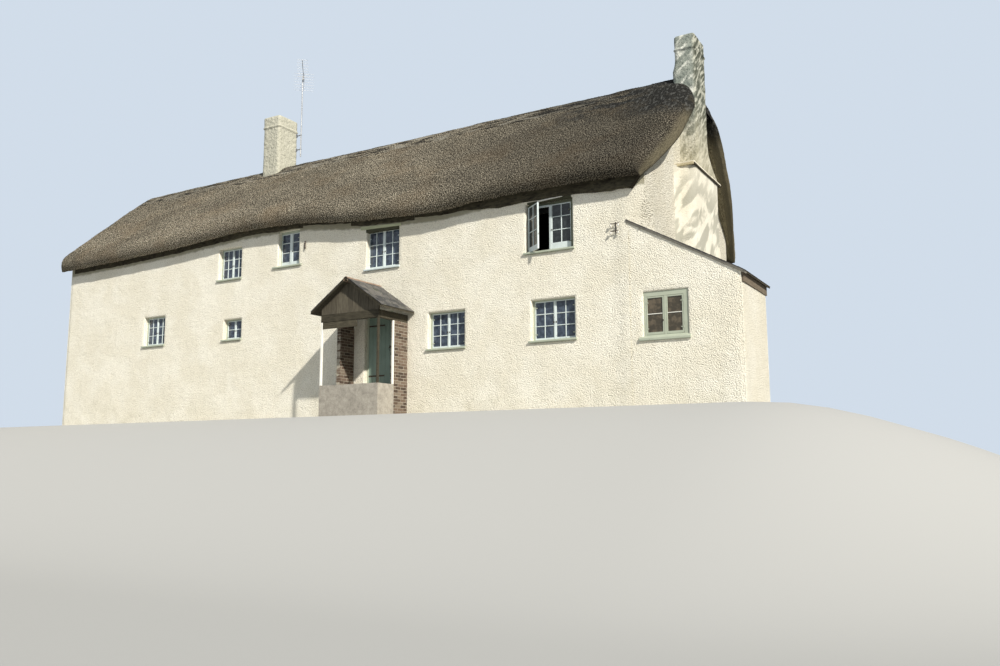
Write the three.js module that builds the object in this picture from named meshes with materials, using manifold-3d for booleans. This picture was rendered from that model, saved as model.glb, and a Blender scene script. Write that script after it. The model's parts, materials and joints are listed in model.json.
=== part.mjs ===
// A long thatched cob cottage with a gable chimney, a slate lean-to and a small gabled porch.
// Millimetres, +Z up, +Y to the back. While it is built, the right gable stands at x = 0, the front
// wall at y = 0 and the lowest ground at z = 0; the last lines centre the cottage over its origin.
import * as THREE from 'three';
import { mergeVertices } from 'three/addons/utils/BufferGeometryUtils.js';
import Module from 'manifold-3d';

const wasm = await Module();
wasm.setup();

// Driving dimensions of the main range
const length = 20600;
const depth = 6400;
const wall = 600;
const gap = 0.3;                     // left where a piece is cut by its neighbour
const far = 30000;                   // longer than anything here

// Roof section: two equal slopes about a ridge, measured by the distance from the ridge
const ridgeY = 3000;
const slope = 0.93;                  // rise over run
const topAtRidge = 8770;             // where the two top surfaces would meet
const underAtRidge = 8220;
const frontReach = 3270;             // ridge to the lower eave edge, level
const rearReach = 3950;
const ridgeRound = 187;              // half width of the rounded ridge
const noseAt = 800;                  // from the ridge, where the verge hangs furthest out
const ridgeDrop = 100;               // how far the rounding lowers the ridge
const vergeAtEave = 80;              // verge overhang that it grows from, towards the eave
const vergeAtNose = 550;             // and its full overhang, higher up the gable
const vergeGrows = { from: -450, to: 1450 };              // distance from the eave over which it grows
const vergePeak = { share: 0.35, from: -100, to: 850 };   // the share left at the ridge, and how it fades
const vergeInset = 100;              // where the verge starts to round, inside the gable
const eaveNose = [[110, 95], [155, 225], [130, 360]];   // out and up from the lower eave edge
const ridgeCap = { half: 650, deep: 120 };              // the ridge's own layer of thatch
// The front eave isn't straight: place along the house and height above its mean line
const eaveLine = [[0, -20], [-1900, 30], [-3500, 0], [-5450, -60], [-6900, 20], [-8100, 80],
  [-9700, 250], [-11000, 330], [-12300, 350], [-15400, 180], [-18000, 110], [-length, 90]];

// Where the walls stop inside the thatch: outer face, inner face and the gable's peak
const frontTop = [5750, 6250];
const rearTop = [5400, 5900];
const gableTop = [6200, 8450];

// Boards under the front eave
const eavesBoard = { x0: -9500, x1: -250, foot: 4965, high: 280, thick: 55 };

// Floors: the left rooms stand higher than the right ones
const floorRight = 800;
const floorLeft = 1550;
const upperRight = 3150;
const upperLeft = 3600;
const floorStepX = -9500;
const slab = 150;

// Openings in the front wall: left, right, sill and head
const frontWindows = [
  { name: 'upper_right', x0: -3020, x1: -1770, z0: 3760, z1: 5000, openLeft: true },
  { name: 'upper_middle', x0: -7840, x1: -6760, z0: 3900, z1: 4960 },
  { name: 'upper_small', x0: -11050, x1: -10180, z0: 4340, z1: 5420 },
  { name: 'upper_left', x0: -13440, x1: -12500, z0: 4200, z1: 5190 },
  { name: 'lower_right', x0: -2890, x1: -1740, z0: 1640, z1: 2660 },
  { name: 'lower_middle', x0: -5820, x1: -4730, z0: 1640, z1: 2620 },
  { name: 'lower_small', x0: -13140, x1: -12410, z0: 2390, z1: 3040 },
  { name: 'lower_left', x0: -16690, x1: -15730, z0: 2440, z1: 3400 },
];
const rearWindows = [
  { name: 'upper_right', x0: -5200, x1: -4200, z0: 3650, z1: 4500 },
  { name: 'upper_left', x0: -13400, x1: -12400, z0: 4000, z1: 4700 },
  { name: 'lower_right', x0: -5200, x1: -4200, z0: 1640, z1: 2640 },
  { name: 'lower_left', x0: -13400, x1: -12400, z0: 2440, z1: 3400 },
];
const frontDoor = { x0: -7850, x1: -6930, z0: floorRight, z1: 2800 };
const backDoor = { x0: -8700, x1: -7750, z0: floorRight, z1: 2850 };

// Windows and doors
const reveal = 110;
const frameDepth = 70;
const frameFace = 55;
const glassThick = 6;
const sillOut = 60;
const sillHorn = 40;
const sillHeight = 60;
const lap = 10;                      // how far the members of one solid run into each other
const rearPane = { inset: 20, back: 30 };
const casementAngle = 37;            // degrees that the open casement stands out
const casementPlay = 4;              // clear of the frame all round
const casementThick = 40;
const casementFace = 42;
const plankThick = 45;
const doorPlay = 4;
const doorSet = 12;                  // door leaf behind the frame's face

// Right chimney: stack, breast and the slate ledge between them
const stack = { x0: -60, x1: 460, y0: 2550, y1: 3430, top: 9620 };
const breast = { x1: 460, y0: 2120, y1: 4250, top: 6060 };
const ledge = { x1: 520, y0: 2075, y1: 4310, thick: 50 };
// The stack widens towards the back above the ledge, in a hollow curve
const haunch = { foot: 30, top: 6900, steps: 5, bend: 2 };
const dripBand = { below: 390, high: 45, out: 22 };

// Left chimney
const leftStack = { x0: -14450, x1: -13730, y0: 2550, y1: 3430, top: 10400 };
const leftMass = { x0: -14950, x1: -13250, y0: 2150, y1: 3850, top: 6400 };

// Television aerial: the boom is clamped to the side of its mast and points to the front right
const mast = { x: -13540, y: 3390, z0: 9150, z1: 12050, radius: 22 };
const mastArms = { z: [9400, 9900], size: 30 };
const boom = { length: 1750, size: 20, back: 250, z: 11930 };
const directors = { count: 7, first: 200, last: 1480, wide: 380, taper: 0.02 };
const reflector = { wide: 680, tall: 600, bars: 7 };
const elementSize = 10;
const aerialTurn = -49;              // degrees from +X that the boom points

// Lean-to at the right gable
const leanTo = { x1: 2050, y1: 2050, wall: 300 };
const leanRoof = { x0: -450, z0: 4270, x1: 2160, thick: 55, front: -40, back: 2100 };
const leanSlope = 0.552;             // fall over run
const leanWindow = { x0: -110, x1: 910, z0: 1580, z1: 2580 };
const leanReveal = 45;
const leanSill = { left: 90, right: 40, out: 50, top: -15, foot: -85 };   // about the opening
const leanBoard = { x0: 2060, x1: 2090, y0: 20, z0: 2600, z1: 2790 };
const leanBoardBlocks = { y: [200, 1700], wide: 60, foot: 40, head: 20 };
const leanFloorFront = 220;          // the floor starts this far behind the front wall

// The main corner inside the lean-to is splayed, and the splay runs out below the eave
const splay = { x: 450, y: 500, full: 4330, gone: 5060 };

// Porch
const porch = { x0: -8300, x1: -6450, y0: -1200, brick: 110, brickBack: -560 };
const porchBeam = { z0: 2400, z1: 2600, size: 90 };
const porchRoof = { ridge: 3480, eave: 2690, over: 210, front: -1370, thick: 60 };
const porchGable = { set: 20, thick: 30 };

// Small ironwork on the front wall
const serviceBracket = { x: -700, foot: 3960, head: 4240, bar: 24, arms: [4010, 4180], left: 110, right: 90 };
const insulator = { radius: 28, long: 61, y: -78 };
const cableEye = { x: -10000, z: 4990, reach: 60, bar: 20, radius: 26, foot: 4760, y: -45 };

const colours = {
  render: [0xe9e0c6, 0.95], chimney: [0xe6e0cc, 0.9], thatch: [0x6e6255, 1], ridge: [0x5d5348, 1],
  timber: [0x4a3d31, 0.85], paint: [0x9fb0a0, 0.6],
  glass: [0x2c3438, 0.1], slate: [0x5b5a57, 0.8], stone: [0x9a9184, 0.9], boards: [0x8a7457, 0.85],
  brick: [0x8f5a49, 0.9], metal: [0x8b8f90, 0.45], iron: [0x3a3a3a, 0.6],
};

function solidOf(geometry) {
  geometry.deleteAttribute('normal');
  geometry.deleteAttribute('uv');
  const merged = mergeVertices(geometry, 1e-3);
  return new wasm.Manifold(new wasm.Mesh({
    numProp: 3,
    vertProperties: new Float32Array(merged.attributes.position.array),
    triVerts: new Uint32Array(merged.index.array),
  }));
}

function block(x0, x1, y0, y1, z0, z1) {
  const box = new THREE.BoxGeometry(x1 - x0, y1 - y0, z1 - z0);
  return solidOf(box.translate((x0 + x1) / 2, (y0 + y1) / 2, (z0 + z1) / 2));
}

function extruded(points, long) {
  const outline = new THREE.Shape(points.map(([a, b]) => new THREE.Vector2(a, b)));
  return new THREE.ExtrudeGeometry(outline, { depth: long, bevelEnabled: false });
}

// The outline lies in y and z, and runs along x
function alongX(points, x0, x1) {
  const turn = new THREE.Matrix4().makeBasis(
    new THREE.Vector3(0, 1, 0), new THREE.Vector3(0, 0, 1), new THREE.Vector3(1, 0, 0));
  return solidOf(extruded(points, x1 - x0).applyMatrix4(turn).translate(x0, 0, 0));
}

// The outline lies in x and z, and runs along y
function alongY(points, y0, y1) {
  return solidOf(extruded(points, y1 - y0).rotateX(Math.PI / 2).translate(0, y1, 0));
}

// The outline lies in x and y, and runs up
function alongZ(points, z0, z1) {
  return solidOf(extruded(points, z1 - z0).translate(0, 0, z0));
}

const join = (first, ...others) => others.reduce((sum, other) => sum.add(other), first);
const cut = (first, ...others) => others.reduce((rest, other) => rest.subtract(other), first);

const cottage = new THREE.Group();

function piece(name, solid, colour) {
  const mesh = solid.getMesh();
  const geometry = new THREE.BufferGeometry();
  geometry.setAttribute('position', new THREE.BufferAttribute(new Float32Array(mesh.vertProperties), 3));
  geometry.setIndex(new THREE.BufferAttribute(new Uint32Array(mesh.triVerts), 1));
  geometry.computeVertexNormals();
  const [color, roughness] = colours[colour];
  const metalness = colour === 'metal' ? 0.8 : 0;
  const node = new THREE.Mesh(geometry, new THREE.MeshStandardMaterial({ color, roughness, metalness }));
  node.name = name;
  cottage.add(node);
}

// Roof

const underAt = (s) => underAtRidge - slope * s;
const topAt = (s) => topAtRidge - slope * s;

function eaveLift(x) {
  for (let i = 1; i < eaveLine.length; i++) {
    const [x0, lift0] = eaveLine[i - 1];
    const [x1, lift1] = eaveLine[i];
    if (x >= x1) return THREE.MathUtils.lerp(lift0, lift1, (x0 - x) / (x0 - x1));
  }
  return eaveLine[eaveLine.length - 1][1];
}

function vergeOverhang(s, reach) {
  const { lerp, smoothstep } = THREE.MathUtils;
  const grown = lerp(vergeAtEave, vergeAtNose, smoothstep(reach - s, vergeGrows.from, vergeGrows.to));
  return grown * lerp(vergePeak.share, 1, smoothstep(s, vergePeak.from, vergePeak.to));
}

// Pairs of an under point and a top point from one eave up to the ridge. side is -1 at the front.
function slopePairs(side, reach) {
  const under = [reach, reach - 90, reach - 180, reach - 280, reach - 900, reach * 0.42, noseAt,
    ridgeRound + 260, ridgeRound].map((s) => [s, underAt(s)]);
  const top = eaveNose.map(([out, up]) => [reach + out, underAt(reach) + up]);
  top.push([reach + 40, topAt(reach + 40)], [reach - 800, topAt(reach - 800)],
    [reach * 0.42, topAt(reach * 0.42)], [noseAt, topAt(noseAt)],
    [ridgeRound + 160, topAt(ridgeRound + 160)], [ridgeRound, topAt(ridgeRound)]);
  return under.map(([s, z], i) => ({
    under: [ridgeY + side * s, z],
    top: [ridgeY + side * top[i][0], top[i][1]],
    hang: vergeOverhang(s, reach),
    lift: side < 0 ? THREE.MathUtils.smoothstep(s, 400, reach) : 0,
  }));
}

const ridgePair = {
  under: [ridgeY, underAt(0)],
  top: [ridgeY, topAtRidge - ridgeDrop],
  hang: vergeOverhang(0, frontReach),
  lift: 0,
};

// The whole thatch as one shell-like mass: rows of points across the roof, one row at each station
function thatchMass() {
  const pairs = [...slopePairs(-1, frontReach), ridgePair, ...slopePairs(1, rearReach).reverse()];
  const stations = [];
  const turns = [78, 62, 46, 30, 14].map(THREE.MathUtils.degToRad);
  for (const turn of turns) stations.push({ end: 1, turn });
  for (const [x] of eaveLine.slice(1, -1)) stations.push({ end: 0, x });
  for (const turn of [...turns].reverse()) stations.push({ end: -1, turn });
  const points = [];
  for (const { end, x, turn = 0 } of stations) {
    const row = pairs.map(({ under, top, hang, lift }) => {
      const out = (vergeInset + hang) * Math.sin(turn) - vergeInset;
      const at = end === 0 ? x : end > 0 ? out : -length - out;
      const raise = lift * eaveLift(end === 0 ? x : end > 0 ? 0 : -length);
      const low = [at, under[0], under[1] + raise];
      const shrink = Math.cos(turn);
      const high = [at, THREE.MathUtils.lerp(under[0], top[0], shrink),
        under[1] + raise + (top[1] - under[1]) * shrink];
      return { low, high };
    });
    points.push(...row.map((p) => p.low), ...row.map((p) => p.high).reverse());
  }
  const ring = pairs.length * 2;
  const index = [];
  const quad = (a, b, c, d) => index.push(a, b, c, a, c, d);
  for (let s = 0; s + 1 < stations.length; s++) {
    for (let i = 0; i < ring; i++) {
      const j = (i + 1) % ring;
      quad(s * ring + i, (s + 1) * ring + i, (s + 1) * ring + j, s * ring + j);
    }
  }
  for (let i = 0; i + 1 < pairs.length; i++) {
    const last = (stations.length - 1) * ring;
    quad(i, i + 1, ring - 2 - i, ring - 1 - i);
    quad(last + i, last + ring - 1 - i, last + ring - 2 - i, last + i + 1);
  }
  const geometry = new THREE.BufferGeometry();
  geometry.setAttribute('position', new THREE.Float32BufferAttribute(points.flat(), 3));
  geometry.setIndex(index);
  return solidOf(geometry);
}

const thatch = thatchMass();
const underThatch = thatch.translate([0, 0, -gap]);

function stackHole({ x0, y0, y1 }, x1) {
  return block(x0 - gap, x1, y0 - gap, y1 + gap, breast.top, far);
}

function addThatch() {
  const roof = cut(thatch, stackHole(stack, far), stackHole(leftStack, leftStack.x1 + gap));
  const { half, deep } = ridgeCap;
  const side = topAt(half) - deep;
  const middle = topAt(0) - ridgeDrop - deep;
  const saddle = (grow) => alongX([[ridgeY - half - grow, far], [ridgeY - half - grow, side - grow],
    [ridgeY, middle - grow], [ridgeY + half + grow, side - grow], [ridgeY + half + grow, far]], -far, far);
  const front = block(-far, far, -far, ridgeY, -far, far);
  const rear = block(-far, far, ridgeY + gap, far, -far, far);
  piece('thatch_front_slope', cut(roof.intersect(front), saddle(gap)), 'thatch');
  piece('thatch_rear_slope', cut(roof.intersect(rear), saddle(gap)), 'thatch');
  piece('thatch_ridge', roof.intersect(saddle(0)), 'ridge');
}

// The boards under the front eave follow its line
function addEavesBoard() {
  const { x0, x1, foot, high, thick } = eavesBoard;
  const line = [x0, ...eaveLine.map(([x]) => x).filter((x) => x > x0 && x < x1).reverse(), x1];
  const lower = line.map((x) => [x, foot + eaveLift(x)]);
  const upper = line.map((x) => [x, foot + high + eaveLift(x)]).reverse();
  piece('front_eaves_board', cut(alongY([...lower, ...upper], -thick, 0), underThatch), 'timber');
}

// Walls

// The splayed corner: full up to the lean-to's slates, then running out to nothing
function splayCut() {
  const { x, y, full, gone } = splay;
  const past = 0.01;                 // the cut runs a little past the wall's faces
  const outer = [x * past, -y * past];
  const plan = [[-x * (1 + past), -y * past], outer, [x * past, y * (1 + past)]];
  const points = [[...plan[0], full], [...plan[1], full], [...plan[2], full], [...outer, gone]];
  const geometry = new THREE.BufferGeometry();
  geometry.setAttribute('position', new THREE.Float32BufferAttribute(points.flat(), 3));
  geometry.setIndex([0, 2, 1, 0, 1, 3, 1, 2, 3, 2, 0, 3]);
  return join(alongZ(plan, -1, full), solidOf(geometry));
}

const holeThrough = (w, y0, y1) => block(w.x0, w.x1, y0, y1, w.z0, w.z1);

function addMainWalls() {
  const frontHoles = [...frontWindows, frontDoor].map((w) => holeThrough(w, -lap, wall + lap));
  const rearHoles = [...rearWindows, backDoor].map((w) => holeThrough(w, depth - wall - lap, depth + lap));
  const front = alongX([[0, 0], [wall, 0], [wall, frontTop[1]], [0, frontTop[0]]], -length, 0);
  const rearInner = depth - wall;
  const rear = alongX([[rearInner, 0], [depth, 0], [depth, rearTop[0]], [rearInner, rearTop[1]]], -length, 0);
  piece('front_wall', cut(front, underThatch, splayCut(), ...frontHoles), 'render');
  piece('rear_wall', cut(rear, underThatch, ...rearHoles), 'render');
  const gable = [[wall, 0], [rearInner, 0], [rearInner, rearTop[1]], [ridgeY, gableTop[1]],
    [wall, gableTop[0]]];
  const gableWall = (x0) => cut(alongX(gable, x0, x0 + wall), underThatch);
  piece('left_gable_wall', gableWall(-length), 'render');
  piece('right_gable_wall', cut(gableWall(-wall), stackHole(stack, far)), 'render');
}

function addFloors() {
  const left = -length + wall;
  const right = -wall;
  const mass = block(leftMass.x0 - gap, leftMass.x1 + gap, leftMass.y0 - gap, leftMass.y1 + gap, -far, far);
  const ground = alongY([[left, floorRight - slab], [right, floorRight - slab], [right, floorRight],
    [floorStepX, floorRight], [floorStepX, floorLeft], [left, floorLeft]], wall, depth - wall);
  const trimmer = 200;
  const upper = alongY([[left, upperLeft - slab], [floorStepX - trimmer, upperLeft - slab],
    [floorStepX - trimmer, upperRight - slab], [right, upperRight - slab], [right, upperRight],
    [floorStepX, upperRight], [floorStepX, upperLeft], [left, upperLeft]], wall, depth - wall);
  piece('ground_floor', cut(ground, mass), 'stone');
  piece('first_floor', cut(upper, mass), 'boards');
}

// Windows and doors

const inside = (w, by) => ({ x0: w.x0 + by, x1: w.x1 - by, z0: w.z0 + by, z1: w.z1 - by });

// A sill as deep as the frame, with a nose and horns in front of the wall. side is -1 at the front.
function sill(w, face, side, deep) {
  const nose = face + side * sillOut;
  const front = face + side * gap;
  const back = face - side * deep;
  const plan = [[w.x0 - sillHorn, nose], [w.x1 + sillHorn, nose], [w.x1 + sillHorn, front],
    [w.x1 - gap, front], [w.x1 - gap, back], [w.x0 + gap, back], [w.x0 + gap, front],
    [w.x0 - sillHorn, front]];
  return alongZ(side < 0 ? plan : plan.reverse(), w.z0 + gap, w.z0 + sillHeight);
}

// Two jambs and a head, open below
function frameHoop(w, y, foot) {
  const outer = inside(w, gap);
  const inner = inside(w, frameFace);
  const outline = [[outer.x0, foot], [inner.x0, foot], [inner.x0, inner.z1], [inner.x1, inner.z1],
    [inner.x1, foot], [outer.x1, foot], [outer.x1, outer.z1], [outer.x0, outer.z1]];
  return alongY(outline, y, y + frameDepth);
}

// A frame round the opening with a mullion in front of one sheet of glass
function windowFrame(w) {
  const middle = (w.x0 + w.x1) / 2;
  const foot = w.z0 + sillHeight - lap;
  const mullion = block(middle - frameFace / 2, middle + frameFace / 2, reveal, reveal + frameDepth / 2,
    foot, w.z1 - lap);
  return join(sill(w, 0, -1, reveal + frameDepth), frameHoop(w, reveal, foot), mullion);
}

function pane(x0, x1, w, y) {
  return block(x0, x1, y, y + glassThick, w.z0 + sillHeight + 2 * gap, w.z1 - frameFace - gap);
}

function addFrontWindows() {
  const y = reveal + frameDepth / 2 + gap;
  for (const w of frontWindows) {
    piece(`window_frame_${w.name}`, windowFrame(w), 'paint');
    const from = w.openLeft ? (w.x0 + w.x1) / 2 - frameFace / 2 : w.x0 + frameFace + gap;
    piece(`window_glass_${w.name}`, pane(from, w.x1 - frameFace - gap, w, y), 'glass');
    if (w.openLeft) addOpenCasement(w);
  }
}

// The left light stands open, hung by its left stile on the front of the jamb
function addOpenCasement(w) {
  const wide = (w.x1 - w.x0) / 2 - frameFace * 1.5 + casementPlay;
  const high = w.z1 - w.z0 - frameFace - sillHeight - 2 * casementPlay;
  const bar = casementFace;
  const deep = -casementThick;
  const inner = bar - 1;
  const rails = cut(block(0, wide, deep, 0, 0, high), block(bar, wide - bar, deep - 1, 1, bar, high - bar));
  const glassY = (deep - glassThick) / 2;
  const frame = join(rails, block(inner, wide - inner, glassY, glassY + glassThick, inner, high - inner));
  const hinge = [w.x0 + frameFace - lap, reveal - gap, w.z0 + sillHeight + casementPlay];
  piece('open_casement', frame.rotate([0, 0, -casementAngle]).translate(hinge), 'paint');
}

function addRearWindows() {
  const y = depth - reveal - frameDepth;
  const { inset, back } = rearPane;
  for (const w of rearWindows) {
    const hole = inside(w, inset);
    const sheet = block(hole.x0, hole.x1, y + back, y + back + glassThick, hole.z0, hole.z1);
    const hoop = frameHoop(w, y, w.z0 + sillHeight - lap);
    piece(`rear_window_${w.name}`, join(sill(w, depth, 1, reveal + frameDepth), hoop, sheet), 'paint');
  }
}

function addDoors() {
  const leaf = (w, y) => block(w.x0 + frameFace + gap, w.x1 - frameFace - doorPlay, y, y + plankThick,
    w.z0 + doorPlay, w.z1 - frameFace - doorPlay);
  piece('front_door_frame', frameHoop(frontDoor, reveal, floorRight), 'paint');
  piece('front_door', leaf(frontDoor, reveal + doorSet), 'timber');
  const rearY = depth - reveal - frameDepth;
  piece('back_door_frame', frameHoop(backDoor, rearY, floorRight), 'paint');
  piece('back_door', leaf(backDoor, rearY + doorSet), 'timber');
}

// Chimneys

const dripAround = ({ x0, x1, y0, y1, top }) => {
  const { below, high, out } = dripBand;
  return block(x0 - out, x1 + out, y0 - out, y1 + out, top - below, top - below + high);
};

function addRightChimney() {
  const { x0, x1, y0, y1, top } = stack;
  const foot = breast.top + ledge.thick;
  piece('chimney_breast', block(0, breast.x1, breast.y0, breast.y1, 0, breast.top), 'chimney');
  piece('chimney_ledge_slates', block(0, ledge.x1, ledge.y0, ledge.y1, breast.top, foot), 'slate');
  const spread = breast.y1 - y1, rise = haunch.top - foot - haunch.foot;
  const curve = Array.from({ length: haunch.steps + 1 }, (_, i) => {
    const share = 1 - i / haunch.steps;
    return [y1 + spread * share ** haunch.bend, haunch.top - rise * share];
  });
  const lower = alongX([[y0, foot], [breast.y1, foot], ...curve, [y0, haunch.top]], 0, x1);
  const upper = block(0, x1, y0, y1, haunch.top - 1, top);
  const behind = block(x0, 1, y0, y1, foot, top);
  piece('right_chimney_stack', join(lower, upper, behind, dripAround(stack)), 'chimney');
}

function addLeftChimney() {
  const { x0, x1, y0, y1, top } = leftStack;
  const mass = block(leftMass.x0, leftMass.x1, leftMass.y0, leftMass.y1, 0, leftMass.top);
  const shaft = block(x0, x1, y0, y1, leftMass.top - 1, top);
  piece('left_chimney_stack', join(mass, shaft, dripAround(leftStack)), 'chimney');
}

function rod(radius, z0, z1, sides = 10) {
  return solidOf(new THREE.CylinderGeometry(radius, radius, z1 - z0, sides).rotateX(Math.PI / 2)
    .translate(0, 0, (z0 + z1) / 2));
}

function addAerial() {
  const { z, size } = mastArms;
  const arm = (z0) => block(leftStack.x1 + gap, mast.x, mast.y - size / 2, mast.y + size / 2, z0, z0 + size);
  const pole = rod(mast.radius, mast.z0, mast.z1).translate([mast.x, mast.y, 0]);
  piece('aerial_mast', join(pole, ...z.map(arm)), 'metal');
  const s = elementSize / 2;
  const t = boom.size / 2;
  const bar = (x, half, height) => block(x - s, x + s, -half, half, height - s, height + s);
  const { count, first, last, wide: across, taper } = directors;
  const rods = [];
  for (let i = 0; i < count; i++) {
    rods.push(bar(first + i * (last - first) / (count - 1), across / 2 * (1 - taper * i), 0));
  }
  const { wide, tall, bars } = reflector;
  for (let i = 0; i < bars; i++) rods.push(bar(-boom.back, wide / 2, -tall / 2 + i * tall / (bars - 1)));
  rods.push(block(-boom.back - s, -boom.back + s, -s, s, -tall / 2, tall / 2));
  const tube = block(-boom.back, boom.length - boom.back, -t, t, -t, t);
  const beside = mast.radius + t + gap;
  const yagi = join(tube, ...rods).translate([0, beside, 0]).rotate([0, 0, aerialTurn]);
  piece('aerial', yagi.translate([mast.x, mast.y, boom.z]), 'metal');
}

// Lean-to

const slateTop = (x) => leanRoof.z0 - leanSlope * (x - leanRoof.x0);

// What the lean-to is fitted round: the main walls with their splayed corner
function mainOutline() {
  return alongZ([[-far, -gap], [-splay.x, -gap], [gap, splay.y - gap], [gap, far], [-far, far]], -far, far);
}

function addLeanTo() {
  const { x1, y1, wall: thick } = leanTo;
  const headroom = leanRoof.thick * Math.hypot(1, leanSlope) + 2 * gap;
  const under = (x) => slateTop(x) - headroom;
  const frontOutline = [[-splay.x, 0], [x1, 0], [x1, under(x1)], [-splay.x, under(-splay.x)]];
  const front = cut(alongY(frontOutline, 0, thick), mainOutline(), holeThrough(leanWindow, -lap, thick + lap));
  const shell = alongY([[gap, 0], [x1, 0], [x1, under(x1)], [gap, under(gap)]], thick, y1);
  const side = block(x1 - thick, x1, thick, y1, 0, far);
  const rear = block(gap, x1 - thick, y1 - thick, y1, 0, far);
  piece('leanto_front_wall', front, 'render');
  piece('leanto_side_wall', shell.intersect(side), 'render');
  piece('leanto_rear_wall', shell.intersect(rear), 'render');
  const end = leanRoof.x1;
  const roof = alongY([[leanRoof.x0, under(leanRoof.x0) + gap], [end, under(end) + gap], [end, slateTop(end)],
    [leanRoof.x0, slateTop(leanRoof.x0)]], leanRoof.front, leanRoof.back);
  piece('leanto_roof', cut(roof, mainOutline()), 'slate');
  const floor = block(gap, x1 - thick, thick + leanFloorFront, y1 - thick, floorRight - slab, floorRight);
  piece('leanto_floor', floor, 'stone');
  addLeanToBoard();
}

// A board along the low eave, on two blocks that stand on the side wall
function addLeanToBoard() {
  const { x0, x1, y0, z0, z1 } = leanBoard;
  const { y, wide, foot, head } = leanBoardBlocks;
  const blocks = y.map((at) => block(leanTo.x1, x0 + 1, at, at + wide, z0 + foot, z1 - head));
  piece('leanto_eaves_board', join(block(x0, x1, y0, leanTo.y1, z0, z1), ...blocks), 'timber');
}

function addLeanToWindow() {
  const w = leanWindow;
  const y = leanReveal;
  const outer = inside(w, gap);
  const inner = inside(w, frameFace);
  const frame = cut(block(outer.x0, outer.x1, y, y + frameDepth, outer.z0, outer.z1),
    block(inner.x0, inner.x1, y - 1, y + frameDepth + 1, inner.z0, inner.z1));
  const middle = (w.x0 + w.x1) / 2;
  const half = frameFace / 2;
  const mullion = block(middle - half, middle + half, y, y + frameDepth / 2, outer.z0, outer.z1);
  piece('leanto_window_frame', join(frame, mullion), 'paint');
  const { left, right, out, top, foot } = leanSill;
  piece('leanto_window_sill', block(w.x0 - left, w.x1 + right, -out, -gap, w.z0 + foot, w.z0 + top), 'paint');
  const glassY = y + frameDepth / 2 + gap;
  piece('leanto_window_glass', block(inner.x0 + gap, inner.x1 - gap, glassY, glassY + glassThick,
    inner.z0 + gap, inner.z1 - gap), 'glass');
}

// Porch

function addPorch() {
  const { x0, x1, y0, brick, brickBack } = porch;
  const { z0, z1, size } = porchBeam;
  piece('porch_left_wall', block(x0, x0 + brick, brickBack, 0, 0, z0), 'brick');
  piece('porch_right_wall', block(x1 - brick, x1, brickBack, 0, 0, z0), 'brick');
  const step = block(x0 + brick, x1 - brick, y0, 0, 0, floorRight);
  const apron = block(x0, x1, y0, brickBack, 0, floorRight);
  piece('porch_floor', join(step, apron), 'stone');
  const posts = [x0, x1 - size].map((x) => block(x, x + size, y0, y0 + size, floorRight, z0 + 1));
  const plates = [x0, x1 - size].map((x) => block(x, x + size, y0, 0, z0, z1));
  const tie = block(x0, x1, y0, y0 + size, z0, z1);
  piece('porch_frame', join(tie, ...posts, ...plates), 'timber');
  const middle = (x0 + x1) / 2;
  const { ridge, eave, over, front, thick } = porchRoof;
  const half = (x1 - x0) / 2 + over;
  const fall = (ridge - eave) / half;
  const drop = thick * Math.hypot(1, fall);
  const roof = alongY([[middle - half, eave - drop], [middle, ridge - drop], [middle + half, eave - drop],
    [middle + half, eave], [middle, ridge], [middle - half, eave]], front, 0);
  piece('porch_roof', roof, 'slate');
  const under = (x) => ridge - drop - gap - fall * Math.abs(x - middle);
  const reach = (ridge - drop - gap - z1) / fall;
  const side = Math.min(reach, (x1 - x0) / 2);
  const boardFront = y0 + porchGable.set;
  const board = alongY([[middle - side, z1], [middle + side, z1], [middle + side, under(middle + side)],
    [middle, under(middle)], [middle - side, under(middle - side)]],
  boardFront, boardFront + porchGable.thick);
  piece('porch_gable_board', board, 'boards');
}

// Ironwork

function addServiceBracket() {
  const { x, foot, head, bar, arms, left, right } = serviceBracket;
  const upright = block(x - bar / 2, x + bar / 2, -20, 0, foot, head);
  const { radius, long, y } = insulator;
  const parts = [upright];
  for (const z of arms) {
    parts.push(block(x - left, x + right, y - bar / 2, y + bar / 2, z, z + bar));
    parts.push(block(x - bar / 2, x + bar / 2, y, -lap, z, z + bar));
    for (const end of [x - left + lap, x + right - lap]) {
      parts.push(rod(radius, z - long + 1, z + 1).translate([end, y, 0]));
    }
  }
  piece('service_bracket', join(...parts), 'iron');
}

function addCableAnchor() {
  const { x, z, reach, bar, radius, foot, y } = cableEye;
  const peg = block(x - bar / 2, x + bar / 2, -reach, 0, z, z + bar);
  piece('cable_anchor', join(peg, rod(radius, foot, z + 1).translate([x, y, 0])), 'iron');
}

addMainWalls();
addFloors();
addThatch();
addEavesBoard();
addRightChimney();
addLeftChimney();
addAerial();
addLeanTo();
addLeanToWindow();
addPorch();
addFrontWindows();
addRearWindows();
addDoors();
addServiceBracket();
addCableAnchor();

// The origin is the middle of the cottage's footprint, on the ground
const extent = new THREE.Box3().setFromObject(cottage);
const centre = extent.getCenter(new THREE.Vector3());
cottage.position.set(-Math.round(centre.x), -Math.round(centre.y), 0);

export default cottage;
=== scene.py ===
import itertools
import json
import math

import bmesh
import bpy
import numpy as np
from mathutils import Euler, Matrix, Vector

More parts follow.
